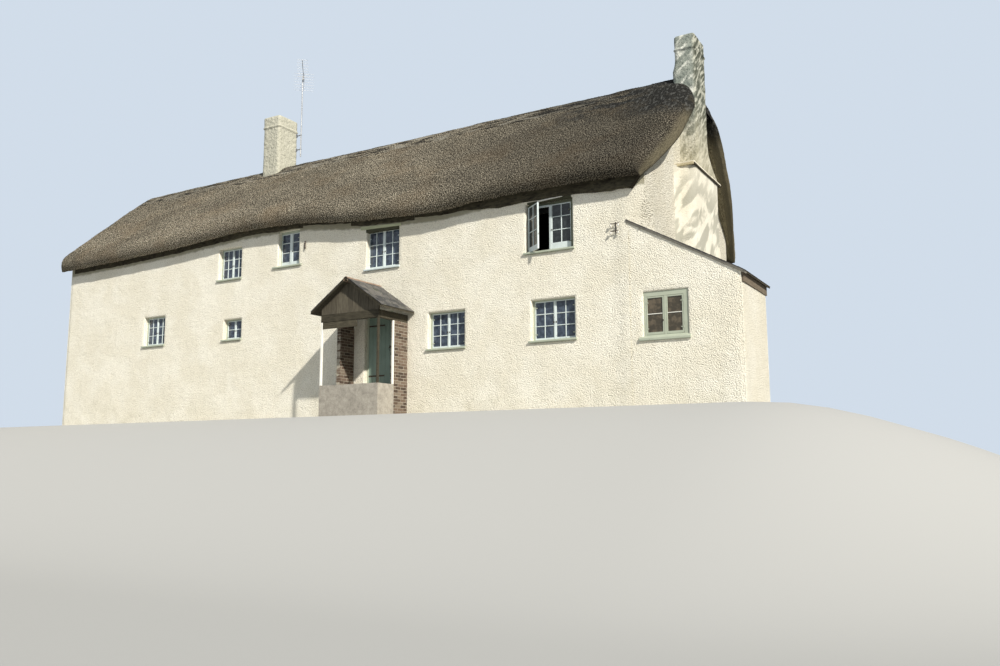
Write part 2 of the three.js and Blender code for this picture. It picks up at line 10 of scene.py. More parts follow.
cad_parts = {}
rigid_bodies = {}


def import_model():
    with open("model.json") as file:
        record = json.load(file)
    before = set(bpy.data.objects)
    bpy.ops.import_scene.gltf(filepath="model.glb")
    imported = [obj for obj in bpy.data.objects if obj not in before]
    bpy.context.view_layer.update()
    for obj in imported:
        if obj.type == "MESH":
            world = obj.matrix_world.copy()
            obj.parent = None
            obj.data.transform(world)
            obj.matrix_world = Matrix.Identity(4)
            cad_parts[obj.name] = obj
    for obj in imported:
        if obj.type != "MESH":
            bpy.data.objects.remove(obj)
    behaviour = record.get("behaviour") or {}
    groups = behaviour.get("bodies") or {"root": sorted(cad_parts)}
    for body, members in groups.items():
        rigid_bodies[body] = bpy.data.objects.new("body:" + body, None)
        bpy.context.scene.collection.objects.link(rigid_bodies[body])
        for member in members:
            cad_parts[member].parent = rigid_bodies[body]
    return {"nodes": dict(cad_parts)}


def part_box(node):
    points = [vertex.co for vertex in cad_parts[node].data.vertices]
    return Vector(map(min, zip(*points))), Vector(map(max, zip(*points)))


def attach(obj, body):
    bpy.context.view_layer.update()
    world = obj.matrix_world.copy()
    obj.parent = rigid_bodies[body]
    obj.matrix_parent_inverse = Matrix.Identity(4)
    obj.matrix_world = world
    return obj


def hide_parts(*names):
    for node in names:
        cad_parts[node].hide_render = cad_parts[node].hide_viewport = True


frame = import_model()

# A thatched cob cottage dressed around its solids. Metres, +Z up. Sizes here count from the right
# gable's face (x), the front wall's face (y, to the back) and the lowest ground (z); shift turns
# them into the frame's own places.
scene = bpy.context.scene
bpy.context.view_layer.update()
shift = np.array([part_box("right_gable_wall")[1].x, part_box("front_wall")[0].y, 0.0])


def houseBox(node):
    low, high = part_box(node)
    return np.array(low) - shift, np.array(high) - shift


# Numbers

def smoothStep(value, low, high):
    share = np.clip((np.asarray(value, float) - low) / (high - low), 0, 1)
    return share * share * (3 - 2 * share)


def cellValue(cells, seed):
    # a repeatable value from -1 to 1 for each cell of a lattice
    whole = cells.astype(np.int64)
    mixed = whole[..., 0] * 73856093 ^ whole[..., 1] * 19349663 ^ whole[..., 2] * 83492791 ^ seed * 26544357
    mixed = (mixed ^ (mixed >> 13)) * 1274126177 & 0x7FFFFFFF
    mixed = mixed ^ (mixed >> 15)
    return (mixed % 65536) / 32768 - 1


def grain(points, size, seed):
    # smooth noise from -1 to 1, with lumps of the given size
    scaled = np.asarray(points, float) / size
    base = np.floor(scaled)
    part = scaled - base
    part = part * part * (3 - 2 * part)
    total = 0
    for corner in itertools.product((0, 1), repeat=3):
        offset = np.array(corner)
        weight = np.prod(np.where(offset, part, 1 - part), axis=-1)
        total = total + weight * cellValue(base + offset, seed)
    return total


def unit(vectors):
    return vectors / np.maximum(np.linalg.norm(vectors, axis=-1, keepdims=True), 1e-9)


def runOf(points):
    # how far along a line of points each of them lies
    return np.concatenate([[0], np.cumsum(np.linalg.norm(np.diff(points, axis=0), axis=1))])


def pointsAt(places, run, points):
    return np.stack([np.interp(places, run, column) for column in points.T], 1)


def turnedBy(points, turn):
    # a turn is a matrix and its pivot
    matrix, pivot = turn
    return (points - pivot) @ np.array(matrix).T + pivot


def outside(x, y, x0, x1, y0, y1):
    # how far each point lies outside a rectangle
    return np.hypot(np.maximum.reduce([x0 - x, x - x1, 0 * x]), np.maximum.reduce([y0 - y, y - y1, 0 * y]))


# Pieces

def addObject(name, data):
    made = bpy.data.objects.new(name, data)
    scene.collection.objects.link(made)
    return made


def keepPiece(name, mesh, replaces=()):
    piece = addObject(name, mesh)
    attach(piece, "root")
    if replaces:
        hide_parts(*replaces)


def reshape(mesh, change=None):
    # a change of the mesh's shape, after which its faces are turned outwards
    shape = bmesh.new()
    shape.from_mesh(mesh)
    if change:
        change(shape)
    bmesh.ops.recalc_face_normals(shape, faces=shape.faces)
    shape.to_mesh(mesh)
    shape.free()


def placesOf(mesh):
    places = np.empty(len(mesh.vertices) * 3)
    mesh.vertices.foreach_get("co", places)
    return places.reshape(-1, 3)


def mapPoints(mesh, run):
    # the mesh's own map in metres, from a pair of values at each point
    corners = np.empty(len(mesh.loops), int)
    mesh.loops.foreach_get("vertex_index", corners)
    layer = mesh.uv_layers.get("run") or mesh.uv_layers.new(name="run")
    layer.data.foreach_set("uv", np.asarray(run)[corners].ravel())


def plainMesh(name, points, faces, finish, closed=False, smooth=False, layers=None, run=None):
    # a mesh in the frame's place; layers are values at its points, run is its own map in metres
    mesh = bpy.data.meshes.new(name)
    mesh.from_pydata((np.asarray(points, float).reshape(-1, 3) + shift).tolist(), [], faces)
    for key, values in (layers or {}).items():
        kind, field = ("FLOAT_VECTOR", "vector") if np.ndim(values) == 2 else ("FLOAT", "value")
        mesh.attributes.new(key, kind, "POINT").data.foreach_set(field, np.ravel(values))
    if run is not None:
        mapPoints(mesh, run)
    if closed:
        reshape(mesh)
    mesh.polygons.foreach_set("use_smooth", [smooth] * len(mesh.polygons))
    mesh.materials.append(finishes[finish])
    return mesh


def makePiece(name, points, faces, finish, slot, replaces=(), **settings):
    keepPiece(name, plainMesh(name, points, faces, finish, **settings), replaces)


def gridFaces(rows, columns, start=0, flip=False):
    # quads over a grid of points kept row by row
    first = (np.arange(rows - 1)[:, None] * columns + np.arange(columns - 1)).ravel() + start
    quads = np.stack([first, first + columns, first + columns + 1, first + 1], 1)
    return (quads[:, ::-1] if flip else quads).tolist()


def blockTemplate():
    # the 24 points of a box with eased edges: each corner, drawn in along two of the three axes
    corners = list(itertools.product((-1, 1), repeat=3))
    index = {key: n for n, key in enumerate(itertools.product(corners, range(3)))}
    faces = [[index[corner, axis] for axis in range(3)] for corner in corners]
    for axis, sign in itertools.product(range(3), (-1, 1)):
        ring = [list(pair) for pair in ((-1, -1), (1, -1), (1, 1), (-1, 1))]
        faces.append([index[tuple(pair[:axis] + [sign] + pair[axis:]), axis] for pair in ring])
    for corner, axis in itertools.product(corners, range(3)):
        if corner[axis] < 0:
            other = tuple(1 if side == axis else place for side, place in enumerate(corner))
            i, j = [side for side in range(3) if side != axis]
            faces.append([index[corner, i], index[other, i], index[other, j], index[corner, j]])
    return list(index), faces


class Stock:
    # timber, metal and other bars gathered into one piece
    template = blockTemplate()

    def __init__(self):
        self.points = []
        self.faces = []
        self.tones = []
        self.chance = np.random.default_rng(7)

    def add(self, points, faces, turn=None):
        points = np.asarray(points, float).reshape(-1, 3)
        if turn is not None:
            points = turnedBy(points, turn)
        start = sum(map(len, self.points))
        self.points.append(points)
        self.faces += [[n + start for n in face] for face in faces]
        self.tones.append(np.full(len(points), self.chance.random()))

    def block(self, low, high, ease=0.003, turn=None):
        low, high = np.minimum(low, high), np.maximum(low, high)
        middle, half = (low + high) / 2, (high - low) / 2
        ease = min(ease, half.min() * 0.45)
        keys, faces = self.template
        points = [middle + np.array(corner) * (half - ease * (np.arange(3) != axis)) for corner, axis in keys]
        self.add(points, faces, turn)

    def loft(self, rings, turn=None):
        # closed ends; every ring has the same number of points
        count = len(rings[0])
        last = (len(rings) - 1) * count
        faces = []
        for first in range(0, last, count):
            for n in range(count):
                a, b = first + n, first + (n + 1) % count
                faces.append([a, b, b + count, a + count])
        faces += [list(range(count))[::-1], [last + n for n in range(count)]]
        self.add(np.concatenate(rings), faces, turn)

    def bar(self, start, end, radius, sides=8, turn=None):
        # a round bar; radius may be a list, one for each even step
        start, end = np.array(start, float), np.array(end, float)
        radii = np.atleast_1d(radius)
        radii = np.repeat(radii, 2) if len(radii) == 1 else radii
        along = unit(end - start)
        side = unit(np.cross(along, [0.31, 0.52, 0.79]))
        other = np.cross(along, side)
        angles = np.arange(sides) * 2 * math.pi / sides
        round_ = np.cos(angles)[:, None] * side + np.sin(angles)[:, None] * other
        steps = np.linspace(0, 1, len(radii))
        self.loft([start + (end - start) * step + round_ * size for step, size in zip(steps, radii)], turn)

    def chain(self, places, radius):
        for start, end in zip(places, places[1:]):
            self.bar(start, end, radius, 6)

    def plank(self, y0, y1, places):
        # a board along x; places are x, foot and head
        self.loft([[[x, y0, foot], [x, y1, foot], [x, y1, head], [x, y0, head]] for x, foot, head in places])

    def profile(self, outline, start, end):
        # an outline in y and z that runs along x
        self.loft([[[x, y, z] for y, z in outline] for x in (start, end)])

    def make(self, name, finish, slot, replaces=(), smooth=False, wobble=0.0):
        points = np.concatenate(self.points)
        if wobble:
            points = points + np.stack([grain(points, 0.3, seed) for seed in (1, 2, 3)], 1) * wobble
        makePiece(name, points, self.faces, finish, slot, replaces, closed=True, smooth=smooth,
                  layers={"tone": np.concatenate(self.tones)})


# Nodes

def socketOf(sockets, key):
    if isinstance(key, int):
        return sockets[key]
    return next(socket for socket in sockets if socket.name == key and socket.enabled)


def operator(operation, swapped=False):
    # an operator's method, which adds a Math node
    def run(self, other):
        sides = {0: other, 1: self} if swapped else {0: self, 1: other}
        return self.nodes.node("ShaderNodeMath", {"operation": operation}, sides)

    return run


class Wire:
    # one output of a node; an expression on it adds Math nodes
    __add__, __radd__ = operator("ADD"), operator("ADD", True)
    __sub__, __rsub__ = operator("SUBTRACT"), operator("SUBTRACT", True)
    __mul__, __rmul__ = operator("MULTIPLY"), operator("MULTIPLY", True)
    __truediv__ = operator("DIVIDE")

    def __init__(self, nodes, socket):
        self.nodes = nodes
        self.socket = socket


class Nodes:
    def __init__(self, tree):
        self.tree = tree

    def node(self, kind, settings=None, values=None, out=0):
        made = self.tree.nodes.new(kind)
        for key, value in (settings or {}).items():
            if key == "stops":
                self.fillRamp(made.color_ramp, value)
            else:
                setattr(made, key, value)
        for key, value in (values or {}).items():
            self.feed(socketOf(made.inputs, key), value)
        return Wire(self, socketOf(made.outputs, out))

    def feed(self, socket, value):
        if isinstance(value, Wire):
            self.tree.links.new(value.socket, socket)
        else:
            socket.default_value = value

    def fillRamp(self, ramp, stops):
        while len(ramp.elements) < len(stops):
            ramp.elements.new(0.5)
        for element, (place, colour) in zip(ramp.elements, stops):
            element.position = place
            element.color = (*colour, 1)

    def vector(self, operation, first, second):
        return self.node("ShaderNodeVectorMath", {"operation": operation}, {0: first, 1: second})

    def scaled(self, vector, size):
        return self.node("ShaderNodeVectorMath", {"operation": "SCALE"}, {0: vector, "Scale": size})


class Finish(Nodes):
    # one material, with helpers for the patterns that several finishes share
    def __init__(self, name, roughness=0.85, metallic=0.0, specular=0.4):
        self.material = bpy.data.materials.new(name)
        self.material.use_nodes = True
        super().__init__(self.material.node_tree)
        self.surface = self.tree.nodes["Principled BSDF"]
        self.surface.inputs["Roughness"].default_value = roughness
        self.surface.inputs["Metallic"].default_value = metallic
        self.surface.inputs["Specular IOR Level"].default_value = specular
        self.place = self.vector("SUBTRACT", self.node("ShaderNodeTexCoord", out="Object"), tuple(shift))

    def run(self):
        return self.node("ShaderNodeUVMap", {"uv_map": "run"})

    def parts(self, vector):
        split = self.node("ShaderNodeSeparateXYZ", values={0: vector})
        return [Wire(self, socket) for socket in split.socket.node.outputs]

    def value(self, name):
        return self.node("ShaderNodeAttribute", {"attribute_name": name}, out="Fac")

    def noise(self, vector, scale, detail=3.0, rough=0.5, bent=0.0):
        return self.node("ShaderNodeTexNoise", values={
            "Vector": vector, "Scale": scale, "Detail": detail, "Roughness": rough, "Distortion": bent})

    def step(self, value, low, high, start=0.0, end=1.0):
        return self.node("ShaderNodeMapRange", {"interpolation_type": "SMOOTHSTEP"}, {
            "Value": value, "From Min": low, "From Max": high, "To Min": start, "To Max": end})

    def mix(self, share, first, second, blend="MIX"):
        return self.node("ShaderNodeMix", {"data_type": "RGBA", "blend_type": blend},
                         {0: share, 6: self.solid(first), 7: self.solid(second)}, out=2)

    def solid(self, colour):
        return colour if isinstance(colour, Wire) else (*colour, 1)

    def ramp(self, value, *stops):
        return self.node("ShaderNodeValToRGB", {"stops": stops}, {0: value})

    def relief(self, height, depth, strength=1.0, under=None):
        values = {"Height": height, "Distance": depth, "Strength": strength}
        if under is not None:
            values["Normal"] = under
        return self.node("ShaderNodeBump", values=values)

    def wear(self, **inputs):
        names = {"colour": "Base Color", "roughness": "Roughness", "normal": "Normal"}
        for key, value in inputs.items():
            self.feed(self.surface.inputs[names[key]], self.solid(value) if key == "colour" else value)
        return self.material


class Rule(Nodes):
    # one Geometry Nodes tree with named inputs, which scatters or lays one unit
    def __init__(self, name, inputs):
        super().__init__(bpy.data.node_groups.new(name, "GeometryNodeTree"))
        sockets = self.tree.interface
        sockets.new_socket("Geometry", in_out="INPUT", socket_type="NodeSocketGeometry")
        self.ids = {}
        for key, kind in {**inputs, "Seed": "Int", "Finish": "Material"}.items():
            socket = sockets.new_socket(key, in_out="INPUT", socket_type="NodeSocket" + kind)
            self.ids[key] = socket.identifier
        sockets.new_socket("Geometry", in_out="OUTPUT", socket_type="NodeSocketGeometry")
        self.enter = self.tree.nodes.new("NodeGroupInput")

    def given(self, name):
        return Wire(self, self.enter.outputs[name])

    def chance(self, low, high, seed, kind="FLOAT"):
        return self.node("FunctionNodeRandomValue", {"data_type": kind},
                         {"Min": low, "Max": high, "Seed": seed}, out="Value")

    def named(self, name, kind):
        return self.node("GeometryNodeInputNamedAttribute", {"data_type": kind}, {"Name": name})

    def stray(self, low, high, seed):
        return self.chance(low, high, seed, "FLOAT_VECTOR")

    def end(self, points, unitMesh, turn, size, seed):
        # a unit at every point, each with its own tone
        placed = self.node("GeometryNodeInstanceOnPoints", values={
            "Points": points, "Instance": unitMesh, "Rotation": turn, "Scale": size})
        toned = self.node("GeometryNodeStoreNamedAttribute", {"data_type": "FLOAT", "domain": "INSTANCE"}, {
            "Geometry": placed, "Name": "tone", "Value": self.chance(0.0, 1.0, seed)})
        real = self.node("GeometryNodeRealizeInstances", values={0: toned})
        done = self.node("GeometryNodeSetMaterial", values={
            "Geometry": real, "Material": self.given("Finish")})
        leave = self.tree.nodes.new("NodeGroupOutput")
        self.feed(leave.inputs[0], done)

    def grow(self, name, mesh, sizes):
        # the tree's result over a mesh, as a plain mesh
        host = addObject(name, mesh)
        modifier = host.modifiers.new("rule", "NODES")
        modifier.node_group = self.tree
        for key, value in sizes.items():
            modifier[self.ids[key]] = value
        graph = bpy.context.evaluated_depsgraph_get()
        made = bpy.data.meshes.new_from_object(host.evaluated_get(graph), preserve_all_data_layers=True,
                                               depsgraph=graph)
        host.modifiers.remove(modifier)
        bpy.data.objects.remove(host)
        made.name = name
        if not made.materials:
            made.materials.append(sizes["Finish"])
        return made


print("finishes")


# Thatch, seen as short ends of straw: pale and dark specks, broad bands and sooty patches; the coat's dark
# specks are partly painted shade of the gaps between straws, and the ridge carries painted streaks of light
# and shade
thatchLook = {
    "dark": (0.016, 0.014, 0.010), "middle": (0.100, 0.086, 0.063), "pale": (0.420, 0.375, 0.285),
    "soot": (0.014, 0.014, 0.013), "sootPale": (0.120, 0.122, 0.114), "brown": (0.150, 0.105, 0.060),
    "streakLight": (0.235, 0.225, 0.190),
    "belowDark": (0.060, 0.052, 0.034), "belowPale": (0.235, 0.205, 0.132),
}


def thatchPatches(f):
    # how far each spot is darkened: broad bands, darker towards the right end, and the chimney's soot
    x, y, z = f.parts(f.place)
    slant = f.vector("MULTIPLY", f.place, (0.35, 0.9, 0.25))
    bands = f.step(f.noise(slant, 1.1, 3, 0.55, 0.6), 0.34, 0.68, 0.80, 1.12)
    rightDark = f.step(x, -8.0, -0.8, 1.02, 0.42)
    nearRidge = f.step(z, 7.0, 8.0)
    nearEnd = f.step(x, -5.0, -1.2)
    blots = f.vector("MULTIPLY", f.place, (0.8, 1.6, 1.6))
    patchy = f.step(f.noise(blots, 2.2, 4, 0.62, 0.5), 0.47, 0.53)
    nose = f.step(x, -1.5, -0.4) * f.step(z, 6.9, 7.5) * f.step(f.noise(f.place, 3.0, 3), 0.20, 0.44)
    soot = f.node("ShaderNodeMath", {"operation": "MAXIMUM"}, {0: nearRidge * nearEnd * patchy, 1: nose})
    return bands * rightDark, soot


def thatchFinish(name, straw=False, streaks=False):
    f = Finish(name, roughness=0.96, specular=0.12)
    run = f.run()
    bands, soot = thatchPatches(f)
    if straw:
        speck = f.value("tone") * 0.7 + f.noise(f.place, 34, 1) * 0.3
        stops = (0.20, 0.50, 0.82)
    else:
        # on the coat between the straw ends the dark specks are partly painted shade of the gaps, partly the
        # straw's own dark tone
        speck = f.noise(f.vector("MULTIPLY", run, (1.0, 0.75, 1.0)), 33, 1, 0.5)
        stops = (0.40, 0.51, 0.62)
    colour = f.ramp(speck, *zip(stops, (thatchLook[key] for key in ("dark", "middle", "pale"))))
    warm = f.step(f.noise(f.place, 0.7, 3, 0.6), 0.45, 0.75, 0.0, 0.35)
    colour = f.mix(warm, colour, thatchLook["brown"])
    if streaks:
        # streaks of painted light and shade along the ridge: pale ones of light, dark ones of shade in the
        # soot colour
        lines = f.noise(f.vector("MULTIPLY", run, (0.6, 6.0, 1.0)), 2.0, 3, 0.6, 0.25)
        colour = f.mix(f.step(lines, 0.52, 0.62, 0.0, 0.75), colour, thatchLook["streakLight"])
        colour = f.mix(f.step(lines, 0.51, 0.41, 0.0, 0.92), colour, thatchLook["soot"])
    shade = f.node("ShaderNodeCombineColor", values={0: bands, 1: bands, 2: bands})
    colour = f.mix(1.0, colour, shade, "MULTIPLY")
    strands = f.noise(f.vector("MULTIPLY", run, (14.0, 2.2, 1.0)), 2.0, 3, 0.6)
    dark, pale = thatchLook["belowDark"], thatchLook["belowPale"]
    below = f.ramp(strands * 0.6 + speck * 0.4, (0.36, dark), (0.58, pale))
    below = f.mix(f.step(f.parts(f.place)[1], 3.4, 2.0, 0.0, 0.6), below, dark)
    colour = f.mix(f.step(f.value("under"), 0.70, 1.0), colour, below)
    strand = f.noise(f.vector("MULTIPLY", f.place, (9.0, 3.0, 4.0)), 2.2, 3, 0.6)
    sooty = f.ramp(strand, (0.50, thatchLook["soot"]), (0.76, thatchLook["sootPale"]))
    colour = f.mix(soot * 0.95, colour, sooty)
    if straw:
        return f.wear(colour=colour)
    return f.wear(colour=colour, normal=f.relief(speck, 0.03, 0.9))


# Limewashed roughcast: lumps of three to four centimetres, stained below eaves and near the ground, with
# painted shadows of the lumps as dark slanting specks, and walls turned towards the sun greyed with painted
# shade
wallLook = {"cream": (0.820, 0.775, 0.640), "pale": (0.890, 0.855, 0.735), "stain": (0.42, 0.39, 0.27),
            "shade": (0.40, 0.36, 0.27), "eave": (0.215, 0.200, 0.115), "turned": (0.765, 0.765, 0.765),
            "blotch": (0.34, 0.335, 0.27)}
sunward = np.array([1.7, -1.0, 1.4])
# walls turned further towards the sun than the front get a painted shade in their colour
frontLit = 0.413  # the sun's share on the front wall; walls turned further towards it are toned down


def slanted(f, along, across):
    # a flat map over either wall's face, turned to run up to the right
    x, y, z = f.parts(f.place)
    return f.node("ShaderNodeCombineXYZ", values={"X": (x + y + z) * along, "Y": (z - x - y) * across})


def roughcastFinish(name, lumpsAndShadows=1.0, dirt=1.0, dappleShade=0.0, fineness=1.0):
    f = Finish(name, roughness=0.93, specular=0.2)
    x, y, z = f.parts(f.place)
    broad = f.noise(f.place, 0.9, 4, 0.6, 0.3)
    colour = f.mix(f.step(broad, 0.35, 0.68), wallLook["cream"], wallLook["pale"])
    drips = f.noise(f.vector("MULTIPLY", f.place, (5.0, 5.0, 0.45)), 1.0, 5, 0.62)
    low = f.step(z, 1.4, 0.1) * f.step(f.noise(f.place, 2.2, 4, 0.6), 0.42, 0.66)
    runs = f.step(drips, 0.56, 0.74) * f.step(broad, 0.45, 0.62)
    colour = f.mix(low * (0.16 * dirt), colour, wallLook["stain"])
    colour = f.mix(runs * (0.16 * dirt), colour, wallLook["stain"])
    eaveStain = f.step(f.value("eave") * 0.7 + f.noise(f.place, 5.0, 3) * 0.5, 0.50, 0.85)
    colour = f.mix(eaveStain * 0.75, colour, wallLook["eave"])
    if dappleShade:
        # painted shadows of tree leaves: soft slanting blotches, stronger lower down
        cloud = f.noise(slanted(f, 0.9, 2.4), 1.0, 3, 0.55, 0.4)
        shadow = f.step(cloud, 0.43, 0.57) * f.step(z, 5.95, 5.2, 0.5, 1.0)
        colour = f.mix(shadow * dappleShade, colour, wallLook["blotch"])
    dabs = f.noise(slanted(f, 21 * fineness, 38 * fineness), 1.0, 2, 0.55)
    cells = f.node("ShaderNodeTexVoronoi", {"feature": "SMOOTH_F1"},
                   {"Vector": f.place, "Scale": 42.0 * fineness, "Smoothness": 0.35}, out="Distance")
    # painted shadows of the lumps: dark specks slanting away from the sun
    lumpShadows = f.step(dabs * 0.6 + cells * 0.4, 0.50, 0.62, 0.0, 0.42 * lumpsAndShadows)
    colour = f.mix(lumpShadows, colour, wallLook["shade"])
    # painted shade: faces turned further towards the sun than the front wall are greyed
    greyer = f.mix(1.0, colour, wallLook["turned"], "MULTIPLY")
    colour = f.mix(f.value("turned"), colour, greyer)
    soft = f.relief(f.noise(f.place, 5, 3, 0.5), 0.03, 0.6)
    normal = f.relief(0.8 - cells * 0.6 - dabs * 0.6, 0.030 * lumpsAndShadows, 0.9, under=soft)
    return f.wear(colour=colour, normal=normal)


# Each ramp's stops, and pairs of colours for the render that isn't worn; worn is part weathering and part
# painted dappled shade of trees, side is painted branch shadows, and right is a beige partly of painted shade
stackLook = {
    "worn": ((0.38, (0.200, 0.228, 0.200)), (0.50, (0.280, 0.305, 0.265)), (0.60, (0.62, 0.63, 0.56))),
    "side": ((0.41, (0.050, 0.058, 0.042)), (0.50, (0.150, 0.160, 0.130)), (0.60, (0.42, 0.42, 0.35))),
    "left": ((0.435, 0.425, 0.335), (0.54, 0.52, 0.425)),
    "right": ((0.36, 0.335, 0.245), (0.52, 0.485, 0.375)),
}


def stackFinish(name):
    # rendered stacks, mottled grey and green in slanting patches, most on the right one: partly weathering
    # and partly painted dappled shade of trees
    f = Finish(name, roughness=0.93, specular=0.2)
    x, y, z = f.parts(f.place)
    patch = f.noise(slanted(f, 1.5, 4.2), 1.0, 2, 0.5, 0.3)
    fine = f.noise(f.place, 24, 3, 0.6)
    worn = f.ramp(patch * 0.92 + fine * 0.08, *stackLook["worn"])
    # painted branch shadows and shade on the right stack's side face
    branchShadows = f.noise(slanted(f, 2.2, 8.0), 1.0, 2, 0.5, 0.4)
    side = f.step(x, 0.36, 0.47) * f.step(x, 2.0, 1.0)
    worn = f.mix(side, worn, f.ramp(branchShadows, *stackLook["side"]))
    plain = f.mix(f.step(fine, 0.40, 0.62), *stackLook["left"])
    # the right stack's cleaner parts in beige, partly painted shade
    beige = f.mix(f.step(patch, 0.42, 0.58), *stackLook["right"])
    clean = f.mix(f.step(x, -8.0, -4.0), plain, beige)
    amount = f.step(z, 6.3, 8.0, 0.15, 0.95) * f.step(x, -8.0, -4.0, 0.06, 1.0)
    colour = f.mix(amount, clean, worn)
    lump = f.noise(f.place, 9, 3, 0.55)
    normal = f.relief(fine, 0.008, 0.7, under=f.relief(lump, 0.06, 0.8))
    return f.wear(colour=colour, normal=normal)


def paintFinish(name, coat, bare, amount=0.35, gloss=0.5):
    # old paint, chalky and worn through to grey timber in places
    f = Finish(name, roughness=gloss, specular=0.35)
    fibre = f.noise(f.vector("MULTIPLY", f.place, (7.0, 7.0, 1.2)), 9, 4, 0.6)
    flakes = f.noise(f.place, 17, 5, 0.66, 0.3)
    worn = f.step(flakes * 0.7 + fibre * 0.3, 0.66 - 0.22 * amount, 0.72 - 0.22 * amount)
    faded = f.mix(f.step(f.noise(f.place, 3.0, 3), 0.35, 0.7, 0.0, 0.55), coat, tuple(c * 0.78 for c in coat))
    weathered = f.mix(f.step(fibre, 0.35, 0.65), bare, tuple(c * 0.55 for c in bare))
    colour = f.mix(worn, faded, weathered)
    normal = f.relief(flakes * (1 - worn) + fibre * 0.4, 0.0025, 0.7)
    return f.wear(colour=colour, roughness=f.step(worn, 0.0, 1.0, gloss, 0.9), normal=normal)


def timberFinish(name, dark, pale, along=(1.0, 9.0, 9.0)):
    # bare weathered boards with the grain along one axis
    f = Finish(name, roughness=0.9, specular=0.2)
    drawn = f.vector("MULTIPLY", f.place, along)
    lines = f.noise(drawn, 4.5, 6, 0.68, 0.25)
    patches = f.noise(f.place, 2.4, 4, 0.6)
    colour = f.ramp(lines * 0.7 + patches * 0.3, (0.34, dark), (0.66, pale))
    colour = f.mix(f.step(f.value("tone"), 0.0, 1.0, 0.0, 0.35), colour, tuple(c * 0.6 for c in dark))
    return f.wear(colour=colour, normal=f.relief(lines, 0.005, 0.8))


slateLook = {
    "tones": ((0.25, (0.040, 0.040, 0.042)), (0.5, (0.085, 0.082, 0.078)), (0.78, (0.15, 0.14, 0.125))),
    "lichen": (0.30, 0.30, 0.22), "moss": (0.055, 0.065, 0.028),
}


def slateFinish(name):
    f = Finish(name, roughness=0.72, specular=0.3)
    blotch = f.noise(f.place, 6, 5, 0.65, 0.4)
    colour = f.ramp(f.value("tone") * 0.55 + blotch * 0.45, *slateLook["tones"])
    lichen = f.step(f.noise(f.place, 14, 4, 0.6), 0.60, 0.68)
    colour = f.mix(lichen * 0.5, colour, slateLook["lichen"])
    moss = f.step(f.noise(f.place, 3.2, 4, 0.6), 0.55, 0.72)
    colour = f.mix(moss * 0.4, colour, slateLook["moss"])
    return f.wear(colour=colour, normal=f.relief(blotch, 0.006, 0.8))


brickTones = ((0.2, (0.066, 0.048, 0.036)), (0.45, (0.112, 0.078, 0.056)), (0.62, (0.150, 0.108, 0.080)),
              (0.85, (0.185, 0.150, 0.112)))


def brickFinish(name):
    f = Finish(name, roughness=0.92, specular=0.2)
    fleck = f.noise(f.place, 40, 4, 0.65)
    colour = f.ramp(f.value("tone") * 0.7 + fleck * 0.3, *brickTones)
    return f.wear(colour=colour, normal=f.relief(fleck, 0.004, 0.7))


def grittyFinish(name, dark, pale, scale=8, depth=0.006, roughness=0.92):
    # stone, mortar, lead and lime with a mottled face
    f = Finish(name, roughness=roughness, specular=0.25)
    mottle = f.noise(f.place, scale, 5, 0.66, 0.3)
    fine = f.noise(f.place, scale * 6, 3, 0.6)
    colour = f.ramp(mottle * 0.7 + fine * 0.3, (0.32, dark), (0.66, pale))
    return f.wear(colour=colour, normal=f.relief(mottle * 0.5 + fine * 0.5, depth, 0.7))


def metalFinish(name, dark, pale, roughness, metallic):
    f = Finish(name, roughness=roughness, metallic=metallic)
    mottle = f.noise(f.place, 25, 5, 0.65)
    colour = f.ramp(mottle, (0.35, dark), (0.65, pale))
    rough = f.step(mottle, 0.3, 0.7, roughness + 0.15, roughness - 0.08)
    return f.wear(colour=colour, roughness=rough, normal=f.relief(mottle, 0.0012, 0.5))


def glassFinish(name, dark, pale):
    # old panes over dark rooms: slightly wavy, with faint patches of dust and painted sheen
    f = Finish(name, roughness=0.05, specular=0.55)
    wave = f.noise(f.place, 4.5, 2, 0.5)
    dustAndSheen = f.noise(f.place, 9, 4, 0.6)
    colour = f.mix(f.step(dustAndSheen, 0.40, 0.65), dark, pale)
    rough = f.step(dustAndSheen, 0.4, 0.7, 0.03, 0.14)
    return f.wear(colour=colour, roughness=rough, normal=f.relief(wave, 0.02, 0.35))


